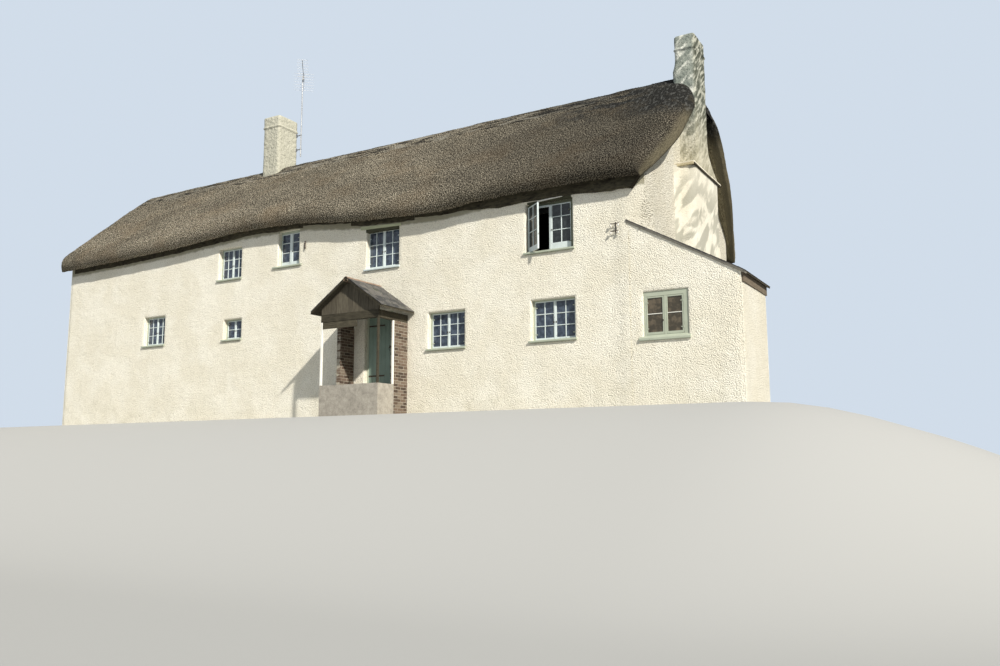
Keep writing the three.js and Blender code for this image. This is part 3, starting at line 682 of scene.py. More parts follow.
finishes = {
    "thatch": thatchFinish("thatch"),
    "straw": thatchFinish("thatch straw", straw=True),
    "ridge": thatchFinish("thatch ridge", streaks=True),
    "ridgeStraw": thatchFinish("ridge straw", straw=True, streaks=True),
    "roughcast": roughcastFinish("roughcast"),
    "gable": roughcastFinish("gable roughcast", lumpsAndShadows=1.9, fineness=0.85),
    "stack": stackFinish("stack render"),
    "breast": roughcastFinish("breast render", lumpsAndShadows=0.35, dirt=1.2, dappleShade=0.72),
    "sage": paintFinish("sage paint", (0.405, 0.440, 0.345), (0.30, 0.28, 0.23), amount=0.2),
    # the upper right window's sage frame, darkened with painted shade
    "olive": paintFinish("old olive paint", (0.115, 0.125, 0.080), (0.20, 0.19, 0.13), amount=0.2),
    "pale": paintFinish("pale paint", (0.62, 0.69, 0.68), (0.40, 0.40, 0.35), amount=0.35),
    "white": paintFinish("white paint", (0.80, 0.79, 0.72), (0.42, 0.39, 0.32), amount=0.1),
    "lintel": timberFinish("lintel board", (0.40, 0.42, 0.26), (0.66, 0.68, 0.46)),
    # a near-black sheet standing for the shade inside the open window
    "black": timberFinish("black lining", (0.006, 0.006, 0.005), (0.012, 0.012, 0.011)),
    # dark boards at the window heads, their darkness painted shade
    "lining": timberFinish("dark lining", (0.050, 0.050, 0.030), (0.11, 0.11, 0.07)),
    "door": paintFinish("door paint", (0.22, 0.30, 0.25), (0.26, 0.23, 0.18), amount=0.2),
    "dark": timberFinish("dark timber", (0.022, 0.019, 0.013), (0.105, 0.092, 0.062)),
    "eaves": timberFinish("eaves timber", (0.012, 0.010, 0.007), (0.135, 0.120, 0.075), (1.6, 6.0, 6.0)),
    "fillet": grittyFinish("verge mortar", (0.20, 0.185, 0.15), (0.44, 0.41, 0.34), 16),
    "board": timberFinish("weathered board", (0.10, 0.075, 0.050), (0.26, 0.22, 0.165), (5.0, 0.8, 9.0)),
    "upright": timberFinish("upright boards", (0.060, 0.050, 0.036), (0.14, 0.125, 0.09), (9.0, 9.0, 1.0)),
    "floor": timberFinish("floor boards", (0.15, 0.10, 0.06), (0.30, 0.22, 0.14)),
    "slate": slateFinish("slate"),
    "brick": brickFinish("brick"),
    "mortar": grittyFinish("mortar", (0.26, 0.235, 0.185), (0.42, 0.385, 0.31), 18),
    "stone": grittyFinish("stone", (0.22, 0.20, 0.17), (0.42, 0.39, 0.33)),
    "limed": grittyFinish("limed slate", (0.62, 0.57, 0.43), (0.86, 0.81, 0.68), 10),
    "bedding": grittyFinish("ledge bedding", (0.36, 0.31, 0.19), (0.58, 0.51, 0.34), 12),
    "clay": grittyFinish("clay", (0.19, 0.13, 0.095), (0.34, 0.25, 0.18), 12),
    "metal": metalFinish("galvanised metal", (0.30, 0.31, 0.32), (0.52, 0.53, 0.54), 0.42, 0.85),
    "iron": metalFinish("iron", (0.045, 0.038, 0.034), (0.13, 0.10, 0.08), 0.62, 0.6),
    "pot": grittyFinish("glazed pot", (0.55, 0.53, 0.48), (0.74, 0.72, 0.66), 20, 0.001, 0.3),
    # blue tints that stand for the sky's reflection: painted reflection over the dark rooms
    "glass": glassFinish("window glass", (0.030, 0.040, 0.060), (0.070, 0.092, 0.125)),
    "darkGlass": glassFinish("dark window glass", (0.017, 0.021, 0.021), (0.036, 0.042, 0.044)),
    "dullGlass": glassFinish("dull window glass", (0.052, 0.043, 0.027), (0.120, 0.095, 0.062)),
    "ground": Finish("pale floor", roughness=0.95, specular=0.1).wear(colour=(0.42, 0.42, 0.405)),
}
slotFinish = {
    "render": "roughcast", "stone": "stone", "floor_boards": "floor", "thatch": "thatch",
    "thatch_ridge": "ridge", "dark_timber": "dark", "chimney_render": "stack", "slate": "slate",
    "galvanised_metal": "metal", "weathered_board": "board", "sage_paint": "sage", "window_glass": "glass",
    "brick": "mortar", "door_paint": "door", "iron": "iron",
}


def dressSolids():
    # every solid that stays gets the finish of its own slot
    for solid in frame["nodes"].values():
        for place in solid.material_slots:
            place.material = finishes[slotFinish[place.material.name.split(".")[0]]]


dressSolids()

print("thatch")

# Roof section: two equal slopes about the ridge, measured by the level distance from it
roof = {
    "length": 20.6, "ridgeY": 3.0, "slope": 0.93, "top": 8.77, "under": 8.22,
    "frontReach": 3.27, "rearReach": 3.95, "nose": [(0.11, 0.095), (0.155, 0.225), (0.13, 0.36)],
    "ridgeRound": 0.1075, "inset": 0.1, "vergeLow": 0.07, "vergeHigh": 0.53, "vergeGrows": (-0.45, 1.45),
    "peakShare": 0.35, "peak": (-0.1, 0.85), "capHalf": 0.66, "capProud": 0.022, "droop": 0.03, "drawn": 0.12,
}
# The rear verge at the right gable: distance from the ridge and overhang
rearVerge = [(0.0, 0.20), (0.3, 0.42), (0.5, 0.50), (0.7, 0.57), (0.9, 0.62), (1.3, 0.62), (1.7, 0.57),
             (2.1, 0.54), (2.5, 0.47), (2.9, 0.37), (3.3, 0.26), (3.7, 0.15), (3.95, 0.09)]
# The front eave isn't straight: place along the house and height above its mean line
eaveLine = [(-20.6, 0.09), (-18.0, 0.11), (-15.4, 0.18), (-12.3, 0.35), (-11.0, 0.33), (-9.7, 0.25),
            (-8.1, 0.045), (-6.9, -0.02), (-6.0, -0.07), (-5.3, -0.09), (-4.5, -0.005), (-4.1, 0.015),
            (-2.7, 0.04), (-1.6, 0.05), (0.0, -0.03)]


def underAt(s):
    return roof["under"] - roof["slope"] * s


def topAt(s):
    return roof["top"] - roof["slope"] * np.sqrt(np.square(s) + roof["ridgeRound"] ** 2)


def eaveLift(x):
    places, lifts = zip(*eaveLine)
    return sum(np.interp(x + step, places, lifts) for step in (-0.45, -0.2, 0, 0.2, 0.45)) / 5


def vergeOverhang(s, reach):
    low, high = roof["vergeLow"], roof["vergeHigh"]
    grown = low + (high - low) * smoothStep(reach - s, *roof["vergeGrows"])
    return grown * (roof["peakShare"] + (1 - roof["peakShare"]) * smoothStep(s, *roof["peak"]))


def endOverhang(s, side, end, reach):
    # by verge; only the rear one at the right gable has a line of its own
    own = (side > 0) & (end > 0)
    return np.where(own, np.interp(s, *zip(*rearVerge)), vergeOverhang(s, reach))


def cornerShare(turning, end, low, run):
    # 1 where the front eave's lower edge has turned fully round the right gable
    return (end > 0) * np.sin(turning) * smoothStep(low, 2.75, 3.2) * (1 - smoothStep(run, 0.15, 0.65))


def throughPoints(points, steps):
    # a smooth line through the points, with even steps of length
    points = np.asarray(points, float)
    ends = np.concatenate([[2 * points[0] - points[1]], points, [2 * points[-1] - points[-2]]])
    fine = []
    for a, b, c, d in zip(ends, ends[1:], ends[2:], ends[3:]):
        t = np.linspace(0, 1, 24, endpoint=False)[:, None]
        fine.append(0.5 * (2 * b + (c - a) * t + (2 * a - 5 * b + 4 * c - d) * t ** 2
                           + (3 * b - a - 3 * c + d) * t ** 3))
    fine = np.concatenate([*fine, points[-1:]])
    run = runOf(fine[:, :2])
    even = np.linspace(0, run[-1], steps)
    return pointsAt(even, run, fine), even


def sectionLine(reach, steps):
    # from the lower eave edge round the nose and up to the ridge: top s, top z, under s, length so far
    line = [(reach, underAt(reach), reach)]
    for (out, up), back in zip(roof["nose"], (0, 0.09, 0.18)):
        line.append((reach + out, underAt(reach) + up, reach - back))
    pairs = [(reach + 0.04, reach - 0.28), (reach - 0.35, reach - 0.6), (reach - 0.8, reach - 0.9)]
    pairs += [(s, s) for s in np.linspace(reach - 1.3, 0.75, 6)]
    pairs += [(s, s) for s in (0.5, 0.35, 0.25, 0.17, 0.1, 0.05, 0.0)]
    line += [(s, topAt(s), low) for s, low in pairs]
    points, run = throughPoints(line, steps)
    return points[:, 0], points[:, 1], points[:, 2], run


def endTurns(turns, along):
    # for each row of points: its turn about a verge, the end that it belongs to, and its place
    turn = np.linspace(math.pi / 2, 0, turns)
    turning = np.concatenate([turn[:-1], np.zeros(along), turn[::-1][1:]])[:, None]
    end = np.concatenate([np.full(turns - 1, -1), np.zeros(along), np.full(turns - 1, 1)])[:, None]
    body = np.linspace(-roof["length"] + roof["inset"], -roof["inset"], along)
    return turning, end, np.pad(body, turns - 1, mode="edge")[:, None]


def thatchSheet(side, reach, along, up):
    # points over one slope, from the left verge to the right one, and from the eave to the ridge
    s, z, low, run = sectionLine(reach, up)
    turning, end, x = endTurns(15, along)
    x = x + end * (roof["inset"] + endOverhang(low[None, :], side, end, reach)) * np.sin(turning)
    share = np.cos(turning)
    lift = 0 * x
    if side < 0:
        corner = cornerShare(turning, end, low[None, :], run[None, :])
        lift = smoothStep(low, 0.4, reach) * eaveLift(np.clip(x, -roof["length"], 0)) - roof["droop"] * corner
        x = x - roof["drawn"] * corner
    y = roof["ridgeY"] + side * (low + (s - low) * share)
    height = underAt(low) + lift + (z - underAt(low)) * share
    points = np.stack([x, y, height], -1)
    under = np.stack([x, roof["ridgeY"] + side * low + 0 * x, underAt(low) + lift], -1)
    return {"points": points, "under": under, "run": run, "turning": turning[:, 0], "end": end[:, 0],
            "side": side, "reach": reach}


def sheetNormals(points, side):
    return unit(np.cross(np.gradient(points, axis=0), np.gradient(points, axis=1))) * -side


def roughen(sheet):
    # bumps and hollows across the slopes, and a slightly ragged lower edge
    points, side = sheet["points"], sheet["side"]
    normals = sheetNormals(points, side)
    flat = smoothStep(np.cos(sheet["turning"]), 0.05, 0.5)
    near = smoothStep(sheet["run"], 0.0, 0.35)[None, :] * flat[:, None]
    slow = grain(points, (1.9, 1.3, 1.3), 11) * 0.020
    middle = grain(points, (0.34, 0.6, 0.6), 12) * 0.011
    small = grain(points, (0.12, 0.2, 0.2), 13) * 0.007
    fine = grain(points, 0.055, 14) * 0.005
    rise = (slow + middle) * near + small * (0.35 + 0.65 * near) + fine
    edge = (1 - smoothStep(sheet["run"], 0.0, 0.16))[None, :]
    drop = grain(points * [1, 0, 0], 0.09, 15) * 0.010 + grain(points * [1, 0, 0], 0.5, 16) * 0.012
    moved = points + normals * rise[..., None]
    moved[..., 2] += drop * edge
    return moved


# The stacks' front and back faces
stackFront, stackBack = 2.55, 3.43


def besideStack(points, near):
    # 1 where the right stack passes through the verge
    y = points[..., 1]
    return smoothStep(y, stackFront - near, stackFront + 0.02) * (
        1 - smoothStep(y, stackBack - 0.02, stackBack + near))


def keepBehindStack(points):
    # where the stack passes through the verge, the straw stops inside it
    inside = besideStack(points, 0.05)
    limit = houseBox("right_chimney_stack")[1][0] - 0.08
    over = np.maximum(points[..., 0] - limit, 0)
    points[..., 0] -= over * inside
    return points


def strawFlow(sheet, points):
    # straw lies down the slope, and turns outwards over the verges
    down = -unit(np.gradient(points, axis=1))
    along = unit(np.gradient(points, axis=0)) * sheet["end"][:, None, None]
    lean = (np.sin(sheet["turning"]) * 0.9)[:, None, None]
    return unit(down + along * lean)


def sewn(shape):
    # the shell's points merged and its middle closed
    bmesh.ops.remove_doubles(shape, verts=shape.verts, dist=0.0008)
    filled = bmesh.ops.holes_fill(shape, edges=[edge for edge in shape.edges if edge.is_boundary], sides=0)
    bmesh.ops.triangulate(shape, faces=filled["faces"])


def closeUnder(name, sheet, points, finish, node):
    # the sheet with its cut edge at the ridge and its underside, as one closed shell
    side, ridgeY = sheet["side"], roof["ridgeY"]
    rows, columns = points.shape[:2]
    index = np.arange(rows * columns).reshape(rows, columns)
    extra = [sheet["under"][:, -1]]
    ridgeRow = np.arange(rows) + rows * columns
    faces = gridFaces(rows, columns)
    faces += np.stack([index[:-1, -1], index[1:, -1], ridgeRow[1:], ridgeRow[:-1]], 1).tolist()
    loop = np.concatenate([index[:, 0], index[-1, 1:], ridgeRow[::-1][1:], index[0, ::-1][1:-1]])
    base = np.concatenate([points.reshape(-1, 3), extra[0]])[loop]
    inner = base.copy()
    inner[:, 0] = np.clip(inner[:, 0], -roof["length"] + 0.2, -0.2)
    inner[:, 1] = ridgeY + side * np.clip(np.abs(inner[:, 1] - ridgeY), 0.12, sheet["reach"] - 0.42)
    rings = [loop]
    count = rows * columns + rows
    for step in (0.35, 0.7, 1.0):
        ring = base + (inner - base) * step
        s = np.abs(ring[:, 1] - ridgeY)
        lift = smoothStep(s, 0.4, sheet["reach"]) * eaveLift(ring[:, 0]) if side < 0 else 0
        fade = smoothStep(step, 0.0, 0.35)
        ring[:, 2] = ring[:, 2] * (1 - fade) + (underAt(s) + lift) * fade
        extra.append(ring)
        rings.append(np.arange(len(loop)) + count)
        count += len(loop)
    for outer, inner in zip(rings, rings[1:]):
        faces += np.stack([outer, inner, np.roll(inner, -1), np.roll(outer, -1)], 1).tolist()
    if side > 0:
        faces = [face[::-1] for face in faces]
    allPoints = np.concatenate([points.reshape(-1, 3), *extra])
    run = allPoints[:, :2].copy()
    run[:rows * columns, 0] = np.repeat(runOf(points[:, columns // 3]), columns)
    run[:rows * columns, 1] = np.tile(sheet["run"] + 0.9 * np.minimum(sheet["run"], 0.45), rows)
    under = np.ones(count)
    under[:rows * columns] = np.repeat(np.sin(sheet["turning"]), columns)
    mesh = plainMesh(name, allPoints, faces, finish, smooth=True, run=run, layers={"under": under})
    reshape(mesh, sewn)
    keepPiece(name, mesh, [node])


def strawRule():
    # short straw ends scattered over a sheet, lying along its flow and lifted a little off it
    rule = Rule("straw", dict.fromkeys(("Density", "Apart", "Length", "Girth", "Lift", "Spread"), "Float"))
    seed, length = rule.given("Seed"), rule.given("Length")
    points = rule.node("GeometryNodeDistributePointsOnFaces", {"distribute_method": "POISSON"}, {
        "Mesh": rule.given("Geometry"), "Distance Min": rule.given("Apart"),
        "Density Max": rule.given("Density"), "Density Factor": rule.named("growth", "FLOAT"), "Seed": seed})
    outward = rule.scaled(Wire(rule, points.socket.node.outputs["Normal"]), rule.given("Lift"))
    stray = rule.scaled(rule.stray((-1, -1, -1), (1, 1, 1), seed), rule.given("Spread"))
    aim = rule.vector("ADD", rule.vector("ADD", rule.named("flow", "FLOAT_VECTOR"), outward), stray)
    turn = rule.node("FunctionNodeAlignRotationToVector", {"axis": "Z"}, {"Vector": aim})
    cone = rule.node("GeometryNodeMeshCone", values={
        "Vertices": 3, "Radius Top": 0.0, "Radius Bottom": rule.given("Girth"), "Depth": length}, out="Mesh")
    sunk = rule.node("ShaderNodeCombineXYZ", values={"Z": length * -0.35})
    blade = rule.node("GeometryNodeTransform", values={"Geometry": cone, "Translation": sunk})
    size = rule.stray((0.6, 0.6, 0.6), (1.3, 1.3, 1.35), seed + 5)
    rule.end(points, blade, turn, size, seed + 9)
    return rule


strawTree = strawRule()
straw = {"Density": 440.0, "Apart": 0.024, "Length": 0.050, "Girth": 0.0095, "Lift": 0.30, "Spread": 0.34}


def plantStraw(name, points, flip, finish, layers, settings):
    # straw ends over the points where growth lets them, mapped by their places
    base = plainMesh(name + "_base", points, gridFaces(*points.shape[:2], flip=flip), finish, layers=layers)
    mesh = strawTree.grow(name, base, {**straw, **settings, "Finish": finishes[finish]})
    mapPoints(mesh, placesOf(mesh)[:, :2] - shift[:2] - (0, roof["ridgeY"]))
    print(name, len(mesh.polygons))
    keepPiece(name, mesh)


def bareBy(points, turning):
    # no straw beside the stack or along the verge's lower edge
    away = 1 - smoothStep(points[..., 0], 0.14, 0.20) * besideStack(points, 0.16)
    return away * (1 - smoothStep(np.sin(turning), 0.80, 0.96))


def growthOf(sheet, points):
    # full but for the trimmed eave, the verge, beside the stack and under the ridge's coat
    level = np.abs(points[..., 1] - roof["ridgeY"])
    bare = bareBy(points, sheet["turning"][:, None]) * smoothStep(sheet["run"], 0.16, 0.34)[None, :]
    return bare * smoothStep(level, roof["capHalf"] - 0.08, roof["capHalf"])


def coverSlope(name, side, reach, along, up, node, seed):
    sheet = thatchSheet(side, reach, along, up)
    points = keepBehindStack(roughen(sheet))
    closeUnder(name + "_coat", sheet, points, "thatch", node)
    layers = {"flow": strawFlow(sheet, points).reshape(-1, 3), "growth": growthOf(sheet, points).ravel(),
              "under": np.repeat(np.sin(sheet["turning"]), points.shape[1])}
    plantStraw(name + "_straw", points, side > 0, "straw", layers, {"Seed": seed})


coverSlope("thatch_front", -1, roof["frontReach"], 440, 104, "thatch_front_slope", 3)
coverSlope("thatch_rear", 1, roof["rearReach"], 300, 84, "thatch_rear_slope", 4)


def ridgeCoat():
    # the ridge's own layer, a little proud of both slopes, with a ragged lower edge
    half, proud = roof["capHalf"], roof["capProud"]
    s = np.linspace(-half, half, 31)
    turning, end, x = endTurns(12, 420)
    hang = endOverhang(np.abs(s)[None, :], np.sign(s)[None, :], end, roof["frontReach"])
    x = x + end * (roof["inset"] + hang) * np.sin(turning)
    share = np.cos(turning)
    z = underAt(np.abs(s)) + (topAt(np.abs(s)) - underAt(np.abs(s))) * share
    points = np.stack([x, roof["ridgeY"] + s + 0 * x, z], -1)
    normals = sheetNormals(points, -1)
    edge = 1 - np.abs(s) / half
    thick = proud * smoothStep(edge, -0.02, 0.16)[None, :] - 0.012
    slow = grain(points, (1.9, 1.3, 1.3), 11) * 0.020 + grain(points, (0.34, 0.6, 0.6), 12) * 0.011
    fine = grain(points, (0.5, 0.09, 0.09), 23) * 0.006 + grain(points, 0.055, 14) * 0.004
    ragged = grain(points * [1, 0, 0] + [0, 9, 0], 0.22, 24) * 0.03
    pull = np.sign(s) * smoothStep(1 - edge, 0.8, 1.0)
    points = points + normals * (thick + slow * smoothStep(share, 0.05, 0.5) + fine)[..., None]
    points[..., 1] += ragged * pull
    points[..., 2] -= ragged * np.abs(pull) * roof["slope"]
    return keepBehindStack(points), x, s, turning, end


def coverRidge():
    points, x, s, turning, end = ridgeCoat()
    rows, columns = points.shape[:2]
    under = points - np.array([0, 0, 0.09])
    under[..., 1] = roof["ridgeY"] + (under[..., 1] - roof["ridgeY"]) * 0.97
    count = rows * columns
    index = np.arange(count).reshape(rows, columns)
    coarse = [0, columns // 3, 2 * columns // 3, columns - 1]
    faces = gridFaces(rows, columns)
    allPoints = np.concatenate([points.reshape(-1, 3), under[:, coarse].reshape(-1, 3)])
    low = np.arange(rows * 4).reshape(rows, 4) + count
    for r in range(rows - 1):
        faces.append([index[r, 0], low[r, 0], low[r + 1, 0], index[r + 1, 0]])
        faces.append([index[r, -1], index[r + 1, -1], low[r + 1, -1], low[r, -1]])
        faces += [[low[r, k], low[r, k + 1], low[r + 1, k + 1], low[r + 1, k]] for k in range(3)]
    faces += [[*index[0], *low[0, ::-1]], [*low[-1], *index[-1, ::-1]]]
    faces = [[int(n) for n in face] for face in faces]
    flat = np.concatenate([x.ravel(), x[:, coarse].ravel()])
    across = np.concatenate([np.tile(s, rows), np.tile(s[coarse], rows)])
    makePiece("thatch_ridge_coat", allPoints, faces, "ridge", "thatch_ridge", ["thatch_ridge"], closed=True,
              smooth=True, run=np.stack([flat, across], 1), layers={"under": np.zeros(len(allPoints))})
    flow = np.sign(s)[None, :, None] * unit(np.gradient(points, axis=1))
    lean = unit(np.gradient(points, axis=0)) * (end * np.sin(turning))[..., None] * 0.9
    layers = {"flow": unit(flow + lean).reshape(-1, 3), "growth": bareBy(points, turning).ravel(),
              "under": np.zeros(count)}
    plantStraw("thatch_ridge_straw", points, False, "ridgeStraw", layers,
               {"Density": 260.0, "Lift": 0.16, "Seed": 8})


coverRidge()

print("walls")

# Coats of roughcast over the solids' walls
coat = {"thick": 0.013, "round": 0.030, "spacing": 0.08, "edge": 0.008, "revealTo": 0.118}
depth = 6.4
splay = {"x": 0.45, "y": 0.50, "full": 4.33, "gone": 5.06}
slates = {"x0": -0.45, "z0": 4.27, "fall": 0.552, "thick": 0.055, "x1": 2.16, "front": -0.04, "back": 2.1}


def openingOf(node, horn=0.0):
    low, high = houseBox(node)
    return {"left": low[0] + horn, "right": high[0] - horn, "foot": low[2], "head": high[2]}


windowNames = [row + end for row in ("upper_", "lower_") for end in ("right", "middle", "small", "left")]
rearNames = [row + end for row in ("upper_", "lower_") for end in ("right", "left")]
sillHorn = 0.04
frontOpenings = {name: openingOf("window_frame_" + name, sillHorn) for name in windowNames}
rearOpenings = {name: openingOf("rear_window_" + name, sillHorn) for name in rearNames}
frontDoorway = openingOf("front_door_frame")
backDoorway = openingOf("back_door_frame")
leanOpening = openingOf("leanto_window_frame")


def slateTop(x):
    return slates["z0"] - slates["fall"] * (x - slates["x0"])


def mainRoute(p, z):
    # round the four walls: the front runs from -length to 0, then the right gable, rear and left gable
    length = roof["length"]
    x = np.clip(p, -length, 0)
    y = np.where(p > 0, np.minimum(p, depth), 0) + np.where(p < -length, np.minimum(-length - p, depth), 0)
    x = np.where(p > depth, depth - p, x)
    x = np.where(p < -length - depth, -2 * length - depth - p, x)
    share = np.clip((splay["gone"] - z) / (splay["gone"] - splay["full"]), 0, 1)
    share = np.where(z < splay["full"] - 0.30, 0, share)
    a, b = np.maximum(splay["x"] * share, 1e-6), np.maximum(splay["y"] * share, 1e-6)
    cut = (p > -a) & (p < b)
    mixed = np.where(p <= 0, 0.5 * (p + a) / a, 0.5 + 0.5 * p / b)
    return np.where(cut, -a * (1 - mixed), x), np.where(cut, b * mixed, y)


def leanRoute(p, z):
    # the lean-to's front, side and rear walls
    wide, deep = 2.05, 2.05
    x = np.where(p < wide, p, np.where(p < wide + deep, wide, 2 * wide + deep - p))
    y = np.clip(p - wide, 0, deep)
    return x, y


def softRoute(route, p, z, ease):
    # the route with its corners rounded
    steps = np.linspace(-ease, ease, 9)
    found = [route(p + step, z) for step in steps]
    return [sum(part) / len(steps) for part in zip(*found)]


def gridLines(low, high, spacing, edges):
    # even lines, and closer ones outside each opening's edges; edges are (place, direction outwards)
    wanted = []
    for place, out in edges:
        wanted += [place + out * coat["round"] * step for step in (0, 0.3, 1.0)]
    wanted = [line for line in wanted if low < line < high]
    even = np.linspace(low, high, int(round((high - low) / spacing)) + 1)
    inner = [line for line in even[1:-1] if all(abs(line - w) > spacing * 0.4 for w in wanted)]
    return np.array(sorted({round(float(line), 5) for line in [low, high, *inner, *wanted]}))


def wallSkin(name, route, span, topOf, openings, finish, hidden=None, ease=0.07, slot="render",
             thick=coat["thick"], undulate=1.0, spacing=coat["spacing"], replaces=(), swell=None,
             stained=False):
    # a coat over a route of walls, up to topOf, with rounded arrises and reveals at its openings
    edge, arris = coat["edge"], coat["round"]
    holes = [(o["left"] + edge, o["right"] - edge, o["foot"] + edge, o["head"] - edge) for o in openings]
    places = gridLines(*span, spacing, [e for o in holes for e in ((o[0], -1), (o[1], 1))])
    peak = float(np.max(topOf(places)))
    heights = gridLines(0.0, peak, spacing, [e for o in holes for e in ((o[2], -1), (o[3], 1))])
    p, z = np.meshgrid(places, heights, indexing="ij")
    z = np.minimum(z, topOf(p))
    x, y = softRoute(route, p, z, ease)
    ahead, behind = softRoute(route, p + 0.01, z, ease), softRoute(route, p - 0.01, z, ease)
    tangent = unit(np.stack([ahead[0] - behind[0], ahead[1] - behind[1]], -1))
    normal = np.stack([tangent[..., 1], -tangent[..., 0], np.zeros_like(p)], -1)
    points = np.stack([x, y, z], -1)
    facing = unit(np.cross(np.gradient(points, axis=0), np.gradient(points, axis=1)))
    lit = np.maximum(facing @ unit(sunward), frontLit)
    rise = undulate * (grain(points, 1.1, 31) * 0.004 + grain(points, 0.32, 32) * 0.003
                       + grain(points, 0.10, 33) * 0.002)
    back = np.zeros_like(p)
    away = np.ones_like(p)
    for left, right, foot, head in holes:
        d = outside(p, z, left, right, foot, head)
        near = np.clip(arris - d, 0, arris)
        back = np.maximum(back, arris - np.sqrt(arris ** 2 - near ** 2))
        away = np.minimum(away, smoothStep(d, 0, 0.05))
    offset = thick + rise * away - back + (swell(p, z) if swell else 0)
    points = points + normal * offset[..., None]
    rows, columns = p.shape
    index = np.arange(rows * columns).reshape(rows, columns)
    middleP = (places[:-1, None] + places[1:, None]) / 2 + 0 * z[:-1, :-1]
    middleZ = (z[:-1, :-1] + z[1:, 1:]) / 2
    keep = (z[:-1, 1:] - z[:-1, :-1] > 1e-4) | (z[1:, 1:] - z[1:, :-1] > 1e-4)
    for left, right, foot, head in holes:
        keep &= ~((middleP > left) & (middleP < right) & (middleZ > foot) & (middleZ < head))
    if hidden:
        keep &= ~hidden(middleP, middleZ)
    faces = np.array(gridFaces(rows, columns))[keep.ravel()].tolist()
    allPoints = [points.reshape(-1, 3)]
    count = rows * columns
    for left, right, foot, head in holes:
        i0, i1 = np.abs(places - left).argmin(), np.abs(places - right).argmin()
        j0, j1 = np.abs(heights - foot).argmin(), np.abs(heights - head).argmin()
        ring = [(i, j0) for i in range(i0, i1)] + [(i1, j) for j in range(j0, j1)]
        ring += [(i, j1) for i in range(i1, i0, -1)] + [(i0, j) for j in range(j1, j0, -1)]
        here = np.array([index[cell] for cell in ring])
        outer = np.array([points[cell] - normal[cell] * offset[cell] for cell in ring])
        inward = np.array([normal[cell] for cell in ring])
        for into in (0.045, 0.08, coat["revealTo"]):
            there = np.arange(len(ring)) + count
            deep = outer - inward * into
            allPoints.append(deep + grain(deep, 0.12, 34)[:, None] * 0.002)
            count += len(ring)
            faces += np.stack([here, np.roll(here, -1), np.roll(there, -1), there], 1).tolist()
            here = there
    allPoints = np.concatenate(allPoints)
    nearEave, turned = np.zeros(count), np.zeros(count)
    if stained:
        nearEave[:rows * columns] = (1 - smoothStep(topOf(p) - z, 0.34, 0.54)).ravel()
    # how much painted shade each point gets, from how far it turns towards the sun
    turned[:rows * columns] = np.clip((1 - frontLit / lit) * 2, 0, 1).ravel()
    used, faces = np.unique(faces, return_inverse=True)
    makePiece(name, allPoints[used], faces.reshape(-1, 4).tolist(), finish, slot, replaces, smooth=True,
              layers={"eave": nearEave[used], "turned": turned[used]})


def mainTop(p):
    # a little way into the thatch that rests on the wall
    x, y = mainRoute(np.asarray(p, float), 6.0)
    level = np.abs(y - roof["ridgeY"])
    lift = np.where(y < 1, eaveLift(x), 0) * smoothStep(level, 0.4, roof["frontReach"])
    return underAt(level) + lift + 0.03


def underLeanTo(p, z):
    # what the lean-to's walls and slates cover
    onFront = (p > slates["x0"] + 0.06) & (p <= 0) & (z < slateTop(p) - 0.08)
    return onFront | ((p > 0) & (p < 1.95) & (z < slateTop(0) - 0.12))


def leanTop(p):
    x = leanRoute(np.asarray(p, float), 0)[0]
    return slateTop(x) - slates["thick"] * math.hypot(1, slates["fall"]) + 0.012


def cornerSwell(p, z):
    # a little more render over the splayed corner
    return 0.022 * (1 - smoothStep(np.abs(p), 0.45, 0.80))


seenOpenings = {**frontOpenings, "door": frontDoorway}
seenOpenings["upper_small"] = dict(frontOpenings["upper_small"])
seenOpenings["upper_small"]["right"] -= 0.06
wallSkin("roughcast_front", mainRoute, (-roof["length"] - 1.0, 0.0), mainTop, list(seenOpenings.values()),
         "roughcast", underLeanTo, swell=cornerSwell, stained=True)
wallSkin("roughcast_right_gable", mainRoute, (0.0, depth + 1.0), mainTop, [], "gable", underLeanTo,
         swell=cornerSwell)
rearSide = [{**o, "left": depth - o["right"], "right": depth - o["left"]}
            for o in [*rearOpenings.values(), backDoorway]]
wallSkin("roughcast_rear", mainRoute, (depth + 1.0, depth + roof["length"] - 1.0), mainTop, rearSide,
         "roughcast", spacing=0.12)
wallSkin("roughcast_left_gable", mainRoute, (-roof["length"] - depth - 1.0, -roof["length"] - 1.0), mainTop,
         [], "roughcast", spacing=0.12)
wallSkin("roughcast_leanto", leanRoute, (slates["x0"], 6.10), leanTop, [leanOpening], "roughcast")

print("chimneys")


# The breast stands against the right gable, with soft corners and a slightly bulging foot
breast = {"front": 2.12, "back": 4.25, "out": 0.46, "top": 6.06, "swell": 0.035, "ease": 0.20, "blend": 0.30}


def breastRoute(p, z):
    # along the gable, round the breast and along the gable again
    front, back, out = breast["front"], breast["back"], breast["out"]
    wide = back - front
    total = 2 * out + wide
    x = np.where(p < out, np.clip(p, 0, out), np.where(p < out + wide, out, np.clip(total - p, 0, out)))
    x = x - 0.02 * (smoothStep(-p, 0.0, 0.25) + smoothStep(p, total, total + 0.25))
    y = front + np.clip(p - out, 0, wide) + np.minimum(p, 0) + np.maximum(p - total, 0)
    return x, y


def breastSwell(p, z):
    return breast["swell"] * (1 - smoothStep(z, 3.4, 5.0)) * smoothStep(p, 0.1, 0.6)


breastRun = 2 * breast["out"] + breast["back"] - breast["front"]
wallSkin("breast_render", breastRoute, (-breast["blend"], breastRun + breast["blend"]),
         lambda p: breast["top"] + 0 * np.asarray(p), [], "breast", ease=breast["ease"],
         slot="chimney_render", thick=0.014, undulate=1.8, replaces=["chimney_breast"], swell=breastSwell)


